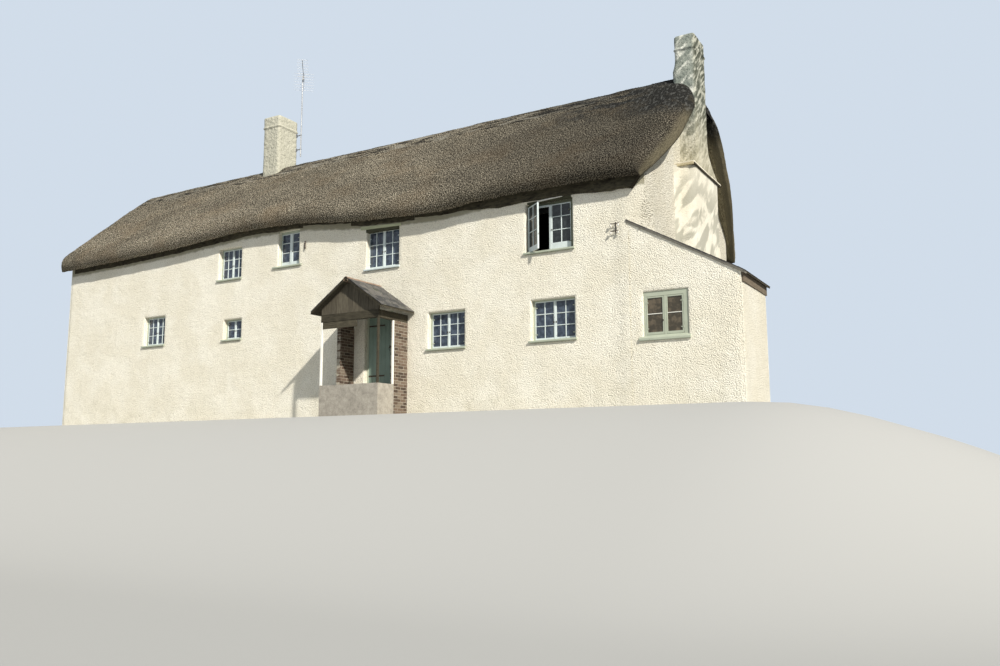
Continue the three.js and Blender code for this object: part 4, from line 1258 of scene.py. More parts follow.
def softRing(low, high, z, corner=0.05, rough=0.009):
    # a rectangle with round corners in plan, slightly uneven
    points = []
    for x, y, start in ((high[0], high[1], 0), (low[0], high[1], 90), (low[0], low[1], 180),
                        (high[0], low[1], 270)):
        sx, sy = np.sign(x - (low[0] + high[0]) / 2), np.sign(y - (low[1] + high[1]) / 2)
        for angle in np.radians(np.linspace(start, start + 90, 5)):
            points.append((x - sx * corner + corner * math.cos(angle),
                           y - sy * corner + corner * math.sin(angle), z))
    points = np.array(points)
    filled = []
    for a, b in zip(points, np.roll(points, -1, axis=0)):
        steps = max(1, int(np.linalg.norm(b - a) / 0.08))
        filled += [a + (b - a) * n / steps for n in range(steps)]
    filled = np.array(filled)
    out = unit(filled - [(low[0] + high[0]) / 2, (low[1] + high[1]) / 2, z])
    bumps = grain(filled, 0.22, 41) + grain(filled, 0.9, 42) * 0.6 + grain(filled, 0.10, 43) * 0.5
    return filled + out * bumps[:, None] * rough


stacks = {
    "right": {"low": (-0.06, stackFront), "high": (0.46, stackBack), "foot": 6.10, "top": 9.62},
    "left": {"low": (-14.45, stackFront), "high": (-13.73, stackBack), "foot": 6.39, "top": 10.40},
}
drip = {"below": 0.39, "high": 0.045, "out": 0.020}


def evenly(ring, count):
    closed = np.concatenate([ring, ring[:1]])
    run = runOf(closed)
    return pointsAt(np.linspace(0, run[-1], count + 1)[:-1], run, closed)


def buildStack(name, look):
    low, high, top = np.array(look["low"]), np.array(look["high"]), look["top"]
    stock = Stock()
    rings = []
    for z in [*np.arange(look["foot"], top - 0.5, 0.07), top - 0.46]:
        lower, upper = low.copy(), high.copy()
        if name == "right":
            upper[1] += 0.82 * np.clip((6.90 - z) / 0.76, 0, 1) ** 2
            lower[0] -= 0.06 * np.clip((8.98 - z) / 0.28, 0, 1) ** 2
        rings.append((lower, upper, z))
    out, band = drip["out"], top - drip["below"]
    above = band + drip["high"]
    shoulders = [(band - 0.012, 0.0), (band + 0.004, out), (above - 0.010, out), (above + 0.012, 0.0)]
    shoulders += [(z, 0.0) for z in np.linspace(band + 0.1, top - 0.03, 4)]
    shoulders += [(top - 0.006, -0.012), (top + 0.012, -0.06), (top + 0.020, -0.15)]
    rings += [(low - grow, high + grow, z) for z, grow in shoulders]
    steps = len(softRing(low, high, 0.0))
    stock.loft([evenly(softRing(lower, upper, z, corner=min(0.05, (upper - lower).min() * 0.3)), steps)
                for lower, upper, z in rings])
    if name == "left":
        mass = houseBox("left_chimney_stack")
        stock.block((mass[0][0], 2.15, 0.0), (mass[1][0], 3.85, 6.4), 0.02)
    stock.make("stack_" + name + "_render", "stack", "chimney_render", [name + "_chimney_stack"], smooth=True)
    buildFlue("stack_" + name + "_flue", (low + high) / 2, top)


def buildFlue(name, middle, top):
    # a low clay liner bedded in the flaunching
    stock = Stock()
    angles = np.arange(20) * 2 * math.pi / 20
    steps = ((0.115, -0.02), (0.115, 0.032), (0.120, 0.036), (0.120, 0.050), (0.095, 0.050), (0.092, -0.10))
    stock.loft([np.stack([middle[0] + radius * np.cos(angles), middle[1] + radius * np.sin(angles),
                          np.full(20, top + up)], 1) for radius, up in steps])
    stock.make(name, "clay", "chimney_render")


for key, look in stacks.items():
    buildStack(key, look)


def buildLedge():
    # limewashed slates bedded over the breast, two courses of slightly uneven lengths
    low, high = houseBox("chimney_ledge_slates")
    stock = Stock()
    chance = np.random.default_rng(51)
    thick = (high[2] - low[2]) / 2
    for course in range(2):
        y = low[1]
        while y < high[1] - 0.05:
            wide = min(chance.uniform(0.24, 0.36), high[1] - y)
            if high[1] - y - wide < 0.12:
                wide = high[1] - y
            out = high[0] - chance.uniform(0.0, 0.012) - course * 0.016
            base = low[2] + course * thick
            tilt = Matrix.Rotation(chance.uniform(-0.012, 0.012), 3, "X")
            pivot = np.array([0.25, y + wide / 2, base])
            stock.block((0.002, y + 0.002, base), (out, y + wide - 0.002, base + thick - 0.003), 0.004,
                        (tilt, pivot))
            y += wide
    stock.make("ledge_slates", "limed", "slate", ["chimney_ledge_slates"], wobble=0.002)
    bed = Stock()
    bed.block((0.004, low[1] - 0.006, low[2] - 0.045), (high[0] - 0.035, low[1] + 0.05, low[2] + 0.016),
              0.006)
    bed.make("ledge_bedding", "bedding", "slate", wobble=0.004)
    # a dark strip under the slates' sloping side: painted shadow
    gap = Stock()
    gap.block((0.35, low[1] + 0.03, low[2] - 0.040), (high[0] - 0.006, high[1] - 0.01, low[2] - 0.001), 0.004)
    gap.make("ledge_shade_slates", "dark", "slate", wobble=0.003)


buildLedge()

print("eaves boards")

eaves = {"head": 5.275, "board": 2.2, "endThick": 0.075}
# Each group's thickness, and places along its lower edge; the thin second and fourth groups are dark strips
# that stand for the thin line of shade under the thatch, as painted shade
eaveGroups = [
    (0.040, [(-20.4, 5.205), (-18.0, 5.225), (-15.4, 5.295), (-12.3, 5.445), (-11.7, 5.44), (-11.3, 5.42),
             (-10.95, 5.41), (-10.57, 5.43), (-10.12, 5.40)]),
    (0.028, [(-10.11, 5.465), (-9.64, 5.42), (-9.27, 5.38), (-8.91, 5.34), (-8.37, 5.29)]),
    (0.050, [(-8.36, 5.21), (-8.0, 5.165), (-7.36, 5.14), (-6.7, 5.095), (-6.27, 5.09)]),
    (0.028, [(-6.26, 5.155), (-5.9, 5.125), (-5.45, 5.10), (-4.77, 5.12)]),
    (0.055, [(-4.76, 5.10), (-4.1, 5.06), (-3.69, 5.02), (-3.13, 5.04), (-2.6, 5.034), (-1.68, 5.036),
             (-1.3, 5.004), (-1.05, 4.978), (-0.8, 4.956), (-0.56, 4.972), (-0.32, 4.945), (-0.29, 4.95),
             (-0.12, 5.20)]),
]


def boardRings(x, end, edge, thick, chance):
    # one length of board with a ragged lower edge; the last one thickens to the right
    lift = chance.uniform(-0.006, 0.006)
    face = -thick + chance.uniform(0.0, 0.008)
    rings = []
    for at in np.linspace(x + 0.003, end - 0.003, max(4, int((end - x) / 0.04))):
        rough = [grain([at, 0, 0], size, seed) for size, seed in ((0.13, 62), (0.45, 63), (0.7, 64))]
        ragged = (rough[0] * 0.010 + rough[1] * 0.008) * (1 - smoothStep(at, -0.45, -0.30))
        low = np.interp(at, *zip(*edge)) + lift + ragged
        head = max(eaves["head"] + eaveLift(at), low + 0.02)
        front = face + rough[2] * 0.003 - eaves["endThick"] * smoothStep(at, -1.5, -0.9)
        rings.append([[at, front + 0.004, low], [at, -0.008, low + 0.004], [at, -0.008, head],
                      [at, front, head], [at, front, (low + head) / 2], [at, front, low + 0.006]])
    return rings


def buildEavesBoards():
    # boards in lengths along the wavy eave, stained and ragged below
    chance = np.random.default_rng(61)
    last = len(eaveGroups) - 1
    for n, (thick, edge) in enumerate(eaveGroups):
        stock = Stock()
        x, right = edge[0][0], edge[-1][0]
        while x < right - 0.01:
            end = min(x + eaves["board"] * chance.uniform(0.8, 1.2), right)
            if right - end < 0.9:
                end = right
            stock.loft(boardRings(x, end, edge, thick, chance))
            x = end
        stock.make(f"eaves_boards_and_shade_{n}", "eaves", "dark_timber", ["front_eaves_board"] if n == last else [])
    # straw packed against the boards' slanting right end
    wrap = Stock()
    rings = []
    for up in np.linspace(0, 0.295, 6):
        x, wide, z = -0.2934 + up * 0.68, 0.012 + up * 0.10, 4.945 + up
        rings.append([[x, -0.128, z], [x + wide, -0.120, z], [x + wide + 0.03, 0.0, z], [x, 0.0, z]])
    wrap.loft(rings)
    wrap.make("eaves_end_straw", "thatch", "thatch", wobble=0.006)


buildEavesBoards()

print("windows")

# Joinery: frames stand back from the wall's face
joinery = {"back": 0.11, "depth": 0.07, "stile": 0.014, "sash": 0.040, "bar": 0.022, "barDeep": 0.024,
           "sillOut": 0.068, "sillHigh": 0.06, "glass": 0.003, "play": 0.002, "clear": 0.0005}
# Left and right of each light's panes, and the heights of the panes' edges, where the photograph shows them
windowLooks = {
    "upper_right": {"frame": "olive", "panes": "darkGlass", "open": True,
                    "glass": ((-2.93, -2.46), (-2.364, -1.889)), "rows": (4.00, 4.306, 4.626, 4.911)},
    "upper_middle": {"frame": "pale", "sill": "pale", "glass": ((-7.820, -7.383), (-7.294, -6.850)),
                     "rows": (4.022, 4.316, 4.615, 4.948)},
    "upper_small": {"columns": 1, "horns": (0.16, 0.05),
                    "glass": ((-11.005, -10.716), (-10.600, -10.362)), "rows": (4.528, 4.795, 5.080, 5.321)},
    "lower_small": {"count": 2, "columns": 1},
}


def windowPlan(o, look):
    # the frame's foot, each light's panes, the heights of the panes' edges, and the lights' head
    foot, middle = o["foot"] + joinery["sillHigh"] - 0.006, (o["left"] + o["right"]) / 2
    glass = look.get("glass", ((o["left"] + 0.070, middle - 0.036), (middle + 0.036, o["right"] - 0.070)))
    rows = look.get("rows", np.linspace(foot + 0.06, o["head"] - 0.06, look.get("count", 3) + 1))
    return foot, glass, rows, min(rows[-1] + 0.022, o["head"] - 0.002)


def jambsOf(o, glass, gap):
    return glass[0][0] - gap - o["left"], o["right"] - glass[1][1] - gap


def addSill(stock, o, face, side, horns=(sillHorn, sillHorn)):
    # a sloping sill with a rounded nose and horns; side is -1 at the front
    nose, foot, high = joinery["sillOut"], o["foot"] + joinery["clear"], joinery["sillHigh"]
    curve = [(0, 0), (nose - 0.006, 0), (nose, 0.008), (nose, high * 0.62), (nose - 0.008, high * 0.78),
             (nose - 0.02, high * 0.84), (0, high * 0.96)]
    stock.profile([(face + side * out, foot + up) for out, up in curve],
                  o["left"] - horns[0], o["right"] + horns[1])
    back = face - side * (joinery["back"] + joinery["depth"])
    stock.profile([(face, foot), (back, foot), (back, foot + high + 0.01), (face, foot + high * 0.96)],
                  o["left"] + 0.001, o["right"] - 0.001)


def addFrame(stock, o, y0, y1, foot, jambs, head):
    # jambs of two widths and the head above its own height
    clear = joinery["clear"]
    left, right, top = o["left"] + clear, o["right"] - clear, o["head"] - clear
    stock.block((left, y0, foot), (left + jambs[0], y1, top), 0.005)
    stock.block((right - jambs[1], y0, foot), (right, y1, top), 0.005)
    if top - head > 0.008:
        stock.block((left + jambs[0] - 0.004, y0 + 0.001, head),
                    (right - jambs[1] + 0.004, y1, top - 0.001), 0.005)


paneFaces = [[0, 1, 3, 2], [4, 6, 7, 5], [0, 4, 5, 1], [2, 3, 7, 6], [0, 2, 6, 4], [1, 5, 7, 3]]


def addLight(timber, panes, glass, rows, foot, head, y, chance, columns=2, stile=joinery["stile"], turn=None):
    # one light about its panes: stiles, rails and glazing bars; y is its front face
    (left, right), thin, barY = glass, joinery["barDeep"], y + 0.006
    back, halfBar, halfRow = y + joinery["sash"], joinery["bar"] / 2, joinery["bar"] * 0.45
    acrosses = np.linspace(left, right, columns + 1)
    members = [((left - stile, y, foot), (left, back, head)), ((right, y, foot), (right + stile, back, head))]
    members += [((left - 0.003, y + 0.001, low), (right + 0.003, back - 0.001, high))
                for low, high in ((foot + 0.0005, rows[0]), (rows[-1], head - 0.0005))]
    members += [((at - halfBar, barY, rows[0] - 0.004), (at + halfBar, barY + thin, rows[-1] + 0.004))
                for at in acrosses[1:-1]]
    members += [((left - 0.004, barY + 0.001, at - halfRow),
                 (right + 0.004, barY - 0.001 + thin, at + halfRow)) for at in rows[1:-1]]
    for low, high in members:
        timber.block(low, high, 0.004, turn)
    glassY = barY + thin * 0.6
    for (a, b), (c, d) in itertools.product(zip(acrosses, acrosses[1:]), zip(rows, rows[1:])):
        middle = np.array([(a + b) / 2, glassY, (c + d) / 2])
        tilt = Euler((chance.uniform(-0.012, 0.012), 0, chance.uniform(-0.012, 0.012))).to_matrix()
        box = np.array(list(itertools.product((a, b), (glassY, glassY + joinery["glass"]), (c, d))))
        panes.add(turnedBy(box, (tilt, middle)), paneFaces, turn)


def addHinges(stock, x, foot, head, y, side):
    # painted strap hinges
    x = x - side * 0.004
    for z in (foot + (head - foot) * 0.16, foot + (head - foot) * 0.84):
        stock.block((x, y - 0.004, z - 0.010), (x + side * 0.064, y + 0.001, z + 0.010), 0.002)
        stock.bar((x, y - 0.005, z - 0.02), (x, y - 0.005, z + 0.02), 0.006)


def addCatch(iron, x, z, y):
    iron.block((x - 0.010, y - 0.005, z - 0.02), (x + 0.010, y + 0.001, z + 0.02), 0.002)
    iron.bar((x, y - 0.018, z), (x, y, z), 0.005, 6)
    iron.block((x - 0.026, y - 0.022, z - 0.005), (x + 0.006, y - 0.016, z + 0.005), 0.002)


def openLight(o, glass, rows, foot, top, chance, lights, panes, iron):
    # the left light stands open, with a stay from its bottom rail to the sill and a near-black sheet behind
    # it, painted shade of the room within
    (a, b), y0 = glass[0], joinery["back"]
    y, hinge, y1 = y0 - 0.0405, o["left"] + 0.054, y0 + joinery["depth"]
    turn = (Matrix.Rotation(math.radians(-37), 3, "Z"), np.array([hinge, y0 - 0.0005, 0]))
    addLight(lights, panes, (hinge + 0.036, b - 0.018), (rows[0] - 0.06, *rows[1:]), foot, top, y, chance,
             stile=0.036, turn=turn)
    lights.block((a - 0.01, y0 - 0.010, top - 0.040), (b + 0.02, y0 + 0.02, top + 0.004), 0.004)
    behind = Stock()
    behind.block((o["left"] + 0.004, y1 + 0.001, o["head"] - 0.24),
                 (glass[1][0], y1 + 0.012, o["head"] - 0.001))
    behind.make("shade_sheet_upper_right", "black", "dark_timber")
    rail = turnedBy(np.array([b - 0.16, y + 0.02, foot + 0.02]), turn)
    iron.bar(rail, (o["left"] + 0.30, y0 + 0.02, foot - 0.002), 0.005, 6)


def buildWindow(name, o, look, seed):
    sill, casing, lights, panes, iron = (Stock() for part in range(5))
    chance = np.random.default_rng(seed)
    play, stile, y0 = joinery["play"], joinery["stile"], joinery["back"]
    y1, gap = y0 + joinery["depth"], stile + play
    foot, glass, rows, top = windowPlan(o, look)
    addSill(sill, o, 0.0, -1, look.get("horns", (sillHorn, sillHorn)))
    sill.make("sill_" + name, look.get("sill", "sage"), "sage_paint", wobble=0.0015)
    addFrame(casing, o, y0, y1, foot, jambsOf(o, glass, gap), top + play)
    lights.block((glass[0][1] + gap, y0 + 0.001, foot), (glass[1][0] - gap, y1, top + play), 0.005)
    for side, (a, b) in zip((1, -1), glass):
        if look.get("open") and side > 0:
            openLight(o, glass, rows, foot + 0.008, top, chance, lights, panes, iron)
            continue
        addLight(lights, panes, (a, b), rows, foot + play, top, y0 + 0.006, chance, look.get("columns", 2))
        hung, meeting = (a, b) if side > 0 else (b, a)
        addHinges(casing, hung - side * stile, foot, top, y0 + 0.006, side)
        addCatch(iron, meeting + side * 0.004, foot + (top - foot) * 0.45, y0 + 0.006)
    casing.make("frame_" + name, look.get("frame", "sage"), "sage_paint", ["window_frame_" + name],
                wobble=0.0015)
    lights.make("lights_" + name, "pale", "sage_paint", ["open_casement"] if look.get("open") else [])
    panes.make("panes_" + name, look.get("panes", "glass"), "window_glass", ["window_glass_" + name])
    iron.make("ironwork_" + name, "iron", "iron")


for n, name in enumerate(windowNames):
    buildWindow(name, frontOpenings[name], windowLooks.get(name, {}), 70 + n)


def buildLintel():
    # a weathered board over the upper middle window, deeper to the left, and dark boards at two heads, dark
    # as painted shade
    stock, lining, batten = Stock(), Stock(), Stock()
    stock.plank(-0.036, 0.05, ((-8.02, 5.045, 5.140), (-7.38, 5.020, 5.098), (-6.70, 5.000, 5.062)))
    stock.make("lintel_board", "lintel", "weathered_board", wobble=0.004)
    lining.plank(-0.024, 0.112, ((-7.85, 4.951, 5.04), (-6.755, 4.951, 5.005)))
    lining.plank(-0.018, 0.10, ((-2.96, 4.990, 5.03), (-1.80, 4.990, 5.045)))
    lining.make("head_shade_boards", "lining", "weathered_board", wobble=0.002)
    batten.plank(-0.040, -0.012, ((-2.68, 5.0, 5.026), (-2.35, 5.022, 5.048), (-2.02, 5.036, 5.062)))
    batten.make("head_batten", "white", "weathered_board", wobble=0.003)


buildLintel()


def buildRearWindow(name, o, seed):
    casing, lights, panes = Stock(), Stock(), Stock()
    chance = np.random.default_rng(seed)
    play, y1 = joinery["play"], depth - joinery["back"]
    y0, gap = y1 - joinery["depth"], joinery["stile"] + play
    foot, glass, rows, top = windowPlan(o, {})
    addSill(casing, o, depth, 1)
    addFrame(casing, o, y0, y1, foot, jambsOf(o, glass, gap), top + play)
    lights.block((glass[0][1] + gap, y0, foot), (glass[1][0] - gap, y1 - 0.001, top + play), 0.005)
    for pair in glass:
        addLight(lights, panes, pair, rows, foot + play, top, y1 - 0.006 - joinery["sash"], chance)
    casing.make("rear_frame_" + name, "sage", "sage_paint", ["rear_window_" + name], wobble=0.0015)
    lights.make("rear_lights_" + name, "pale", "sage_paint")
    panes.make("rear_panes_" + name, "glass", "window_glass")


for n, name in enumerate(rearNames):
    buildRearWindow(name, rearOpenings[name], 90 + n)


leanLook = {"glass": ((-0.020, 0.324), (0.436, 0.760)), "rows": (1.676, 2.430), "bar": 2.080, "stile": 0.030}


def buildLeanWindow():
    # all sage, each light crossed by one thin white bar
    o = leanOpening
    low, high = houseBox("leanto_window_frame")
    sillLow, sillHigh = houseBox("leanto_window_sill")
    sill, casing, panes, bars, iron = (Stock() for part in range(5))
    chance = np.random.default_rng(99)
    y0, y1, foot, play = low[1] - 0.028, high[1], o["foot"] + joinery["clear"], 0.003
    (first, second), rows, at, stile = (leanLook[key] for key in ("glass", "rows", "bar", "stile"))
    gap, z0, z1 = stile + play, rows[0] - 0.055, rows[-1] + stile
    addFrame(casing, o, y0, y1, foot, jambsOf(o, leanLook["glass"], gap), z1 + play)
    casing.block((o["left"] + 0.001, y0 + 0.0005, foot), (o["right"] - 0.001, y1, z0 - play), 0.005)
    casing.block((first[1] + gap, y0 + 0.001, foot), (second[0] - gap, y1, z1 + play), 0.005)
    for side, (a, b) in ((1, first), (-1, second)):
        addLight(casing, panes, (a, b), rows, z0, z1, y0 + 0.004, chance, 1, stile)
        bars.block((a - 0.004, y0 + 0.010, at - 0.008), (b + 0.004, y0 + 0.036, at + 0.008), 0.003)
        addHinges(casing, a - stile if side > 0 else b + stile, z0, z1, y0 + 0.004, side)
    addCatch(iron, first[1] + 0.012, z0 + (z1 - z0) * 0.36, y0 + 0.004)
    casing.make("frame_leanto", "sage", "sage_paint", ["leanto_window_frame"], wobble=0.001)
    panes.make("panes_leanto", "dullGlass", "window_glass", ["leanto_window_glass"])
    bars.make("bars_leanto", "white", "sage_paint")
    iron.make("ironwork_leanto", "iron", "iron")
    under, nose, back = sillLow[2], sillLow[1] - 0.012, y0 + 0.004
    sill.profile([(0.0, under), (nose + 0.006, under), (nose, under + 0.008), (nose, foot - 0.036),
                  (nose + 0.010, foot - 0.022), (-0.015, foot + 0.004), (0.0, foot + 0.010)],
                 sillLow[0], sillHigh[0])
    sill.profile([(0.0, foot - 0.02), (0.0, foot + 0.010), (back, foot + 0.030), (back, foot - 0.02)],
                 o["left"] + 0.002, o["right"] - 0.002)
    sill.make("sill_leanto", "sage", "sage_paint", ["leanto_window_sill"], wobble=0.001)


buildLeanWindow()


def buildDoor(name, o, side):
    # upright planks behind a frame, with strap hinges and a ring latch; side is -1 at the front
    leafNode, frameNode = name + "_door", name + "_door_frame"
    casing, planks, iron = Stock(), Stock(), Stock()
    low, high = houseBox(frameNode)
    addFrame(casing, o, low[1], high[1], o["foot"], (0.055, 0.055), o["head"] - 0.055)
    low, high = houseBox(leafNode)
    outer, inner = (low[1], high[1]) if side < 0 else (high[1], low[1])
    middle, count = (outer + inner) / 2, 6
    for n in range(count):
        a, b = [low[0] + (high[0] - low[0]) * edge / count for edge in (n, n + 1)]
        planks.block((a + 0.0012, outer, low[2]), (b - 0.0012, middle, high[2]), 0.004)
    for share in (0.12, 0.5, 0.86):
        z = low[2] + (high[2] - low[2]) * share
        planks.block((low[0] + 0.03, middle, z - 0.07), (high[0] - 0.03, inner, z + 0.07), 0.006)
    for share in (0.16, 0.84):
        z = low[2] + (high[2] - low[2]) * share
        iron.block((low[0] + 0.002, outer + side * 0.006, z - 0.02), (low[0] + 0.52, outer, z + 0.02), 0.002)
        for n in range(4):
            at = low[0] + 0.08 + n * 0.13
            iron.bar((at, outer + side * 0.010, z), (at, outer, z), (0.004, 0.009))
    x, z = high[0] - 0.10, low[2] + 1.0
    angles = np.arange(13) * 2 * math.pi / 12
    ring = [(x + 0.045 * math.cos(t), outer + side * 0.018, z + 0.045 * math.sin(t)) for t in angles]
    iron.chain(ring, 0.005)
    iron.bar((x, outer, z + 0.045), (x, outer + side * 0.024, z + 0.045), 0.008)
    iron.block((x - 0.03, outer + side * 0.005, z + 0.01), (x + 0.03, outer, z + 0.08), 0.002)
    casing.make(frameNode + "_timber", "sage", "sage_paint", [frameNode], wobble=0.001)
    planks.make(leafNode + "_planks", "door", "door_paint", [leafNode])
    iron.make(leafNode + "_ironwork", "iron", "iron")


buildDoor("front", frontDoorway, -1)
buildDoor("back", backDoorway, 1)

print("slates and bricks")


def courseRule():
    # courses of one unit over a flat area: slates lean on each other, bricks lie flat
    rule = Rule("courses", {"Across": "Int", "Courses": "Int", "Unit": "Vector", **dict.fromkeys(
        ("Pitch Across", "Pitch Up", "Stagger", "Lean", "Jitter"), "Float")})
    across, courses = rule.given("Across"), rule.given("Courses")
    pitchAcross, pitchUp, seed = rule.given("Pitch Across"), rule.given("Pitch Up"), rule.given("Seed")
    tall = pitchUp * (courses - 1)
    grid = rule.node("GeometryNodeMeshGrid", values={
        "Size X": pitchAcross * (across - 1), "Size Y": tall, "Vertices X": across, "Vertices Y": courses})
    where = rule.node("GeometryNodeInputPosition")
    y = Wire(rule, rule.node("ShaderNodeSeparateXYZ", values={0: where}).socket.node.outputs["Y"])
    row = rule.node("ShaderNodeMath", {"operation": "ROUND"}, {0: (y + tall * 0.5) / pitchUp})
    odd = rule.node("ShaderNodeMath", {"operation": "MODULO"}, {0: row, 1: 2.0})
    jitter = rule.given("Jitter")
    stray = rule.scaled(rule.stray((-1, -1, -0.2), (1, 1, 0.2), seed), jitter)
    offset = rule.node("ShaderNodeCombineXYZ", values={"X": odd * rule.given("Stagger") * pitchAcross})
    moved = rule.node("GeometryNodeSetPosition", values={
        "Geometry": grid, "Offset": rule.vector("ADD", offset, stray)})
    unitMesh = rule.node("GeometryNodeMeshCube", values={"Size": rule.given("Unit")})
    wild = rule.chance(-1.0, 1.0, seed + 3)
    turn = rule.node("ShaderNodeCombineXYZ", values={"X": rule.given("Lean"), "Z": wild * jitter * 2.0})
    size = rule.stray((0.96, 0.97, 0.97), (1.0, 1.0, 1.03), seed + 4)
    rule.end(moved, unitMesh, turn, size, seed + 6)
    return rule


courseTree = courseRule()


def layCourses(name, origin, acrossAxis, upAxis, wide, tall, sizes, wobble=0.0):
    # origin is the area's lower left corner; units that pass its edges are cut off there
    mesh = courseTree.grow(name, bpy.data.meshes.new(name + "_base"), sizes)
    points = placesOf(mesh)
    points[:, 0] = np.clip(points[:, 0] + wide / 2, 0, wide)
    points[:, 1] = np.clip(points[:, 1] + tall / 2, 0, tall)
    points += np.stack([grain(points, 0.05, seed) for seed in (1, 2, 3)], 1) * wobble
    acrossAxis, upAxis = unit(np.array(acrossAxis, float)), unit(np.array(upAxis, float))
    axes = np.array([acrossAxis, upAxis, np.cross(acrossAxis, upAxis)])
    mesh.vertices.foreach_set("co", (np.array(origin) + shift + points @ axes).ravel())
    reshape(mesh, lambda shape: bmesh.ops.dissolve_degenerate(shape, dist=0.0004, edges=shape.edges))
    keepPiece(name, mesh)


slateCourse = {"Unit": (0.245, 0.36, 0.009), "Stagger": 0.5, "Lean": 0.030, "Jitter": 0.006}
slateGauge = {"across": 0.25, "up": 0.165}


def slateSlope(name, foot, head, front, back, side, seed):
    # slates from the foot of a slope to its head, both as x and z; side is 1 where it falls to the right
    run = np.array(head) - np.array(foot)
    tall, wide = float(np.linalg.norm(run)), back - front
    courses, across = int(round(tall / slateGauge["up"])), int(round(wide / slateGauge["across"]))
    sizes = {**slateCourse, "Across": across + 2, "Courses": courses + 1, "Pitch Across": wide / across,
             "Pitch Up": tall / courses, "Seed": seed, "Finish": finishes["slate"]}
    origin = (foot[0], front if side > 0 else back, foot[1])
    layCourses(name, origin, (0, side, 0), (run[0], 0, run[1]), wide, tall, sizes)


def addVerge():
    # the verge's undercloak slates in short stepped lengths, over a mortar fillet
    cloak, fillet = Stock(), Stock()
    x = slates["x0"]
    chance = np.random.default_rng(57)
    while x < slates["x1"] - 0.02:
        end = min(x + chance.uniform(0.34, 0.52), slates["x1"])
        tops = [(at, slateTop(at) - 0.014 - drop) for at, drop in ((x, 0.002), (end + 0.01, 0.012))]
        cloak.plank(-0.058, 0.01, [(at, top, top - 0.016) for at, top in tops])
        section = ((-0.046, 0.036), (0.0, 0.036), (0.0, 0.088), (-0.034, 0.080))
        fillet.loft([[[at, y, slateTop(at) - down] for y, down in section] for at in (x, end)])
        x = end
    cloak.make("leanto_verge_slates", "slate", "slate")
    fillet.make("leanto_verge_mortar", "fillet", "slate", wobble=0.006)


def buildLeanRoof():
    # a deck under one slope of slates
    x0, x1 = slates["x0"], slates["x1"]
    slateSlope("leanto_slates", (x1, slateTop(x1) - 0.012), (x0, slateTop(x0) - 0.012), slates["front"],
               slates["back"], 1, 5)
    deck = Stock()
    aslant = math.hypot(1, slates["fall"])
    top, down = 0.024 * aslant, (slates["thick"] - 0.024) * aslant
    rings = []
    for y in [slates["front"] + 0.012, 0.0, *np.linspace(0.004, slates["back"] - 0.01, 6)]:
        start = x0 if y <= 0.0 else 0.002
        rings.append([[x, y, slateTop(x) - top - drop]
                      for x, drop in ((start, 0), (start, down), (x1 - 0.01, down), (x1 - 0.01, 0))])
    deck.loft(rings[:2])
    deck.loft(rings[2:])
    deck.make("leanto_deck", "dark", "slate", ["leanto_roof"])
    addVerge()


buildLeanRoof()


def buildLeanBoard():
    low, high = houseBox("leanto_eaves_board")
    stock = Stock()
    top, foot = slateTop(2.06) - 0.075, low[2]
    stock.block((2.062, low[1], foot), (2.088, 1.05, top), 0.004)
    stock.block((2.062, 1.054, foot + 0.006), (2.087, high[1], top - 0.004), 0.004)
    for y in (0.2, 0.95, 1.7):
        stock.block((2.05, y, foot + 0.03), (2.063, y + 0.06, top - 0.02), 0.003)
    stock.make("leanto_board", "board", "weathered_board", ["leanto_eaves_board"], wobble=0.002)


buildLeanBoard()

print("porch")

porch = {"middle": -7.375, "half": 1.135, "back": -0.56, "beam": 0.09, "ridge": 3.48, "eave": 2.69,
         "front": -1.37, "thick": 0.06, "post": 0.055}
porchFall = (porch["ridge"] - porch["eave"]) / porch["half"]
brickCourse = {"Stagger": 0.5, "Lean": 0.0, "Jitter": 0.0022, "Pitch Across": 0.225, "Pitch Up": 0.075}


def buildPorchWalls():
    for side, node in ((-1, "porch_left_wall"), (1, "porch_right_wall")):
        low, high = houseBox(node)
        wide, tall = high[1] - low[1], high[2] - low[2]
        sizes = {**brickCourse, "Across": int(wide / brickCourse["Pitch Across"]) + 3, "Seed": 20 + side,
                 "Courses": int(round(tall / brickCourse["Pitch Up"])), "Finish": finishes["brick"],
                 "Unit": (0.215, 0.065, high[0] - low[0] + 0.006)}
        origin = ((low[0] + high[0]) / 2, low[1], low[2])
        layCourses(node + "_bricks", origin, (0, 1, 0), (0, 0, 1), wide, tall, sizes, wobble=0.0015)


buildPorchWalls()


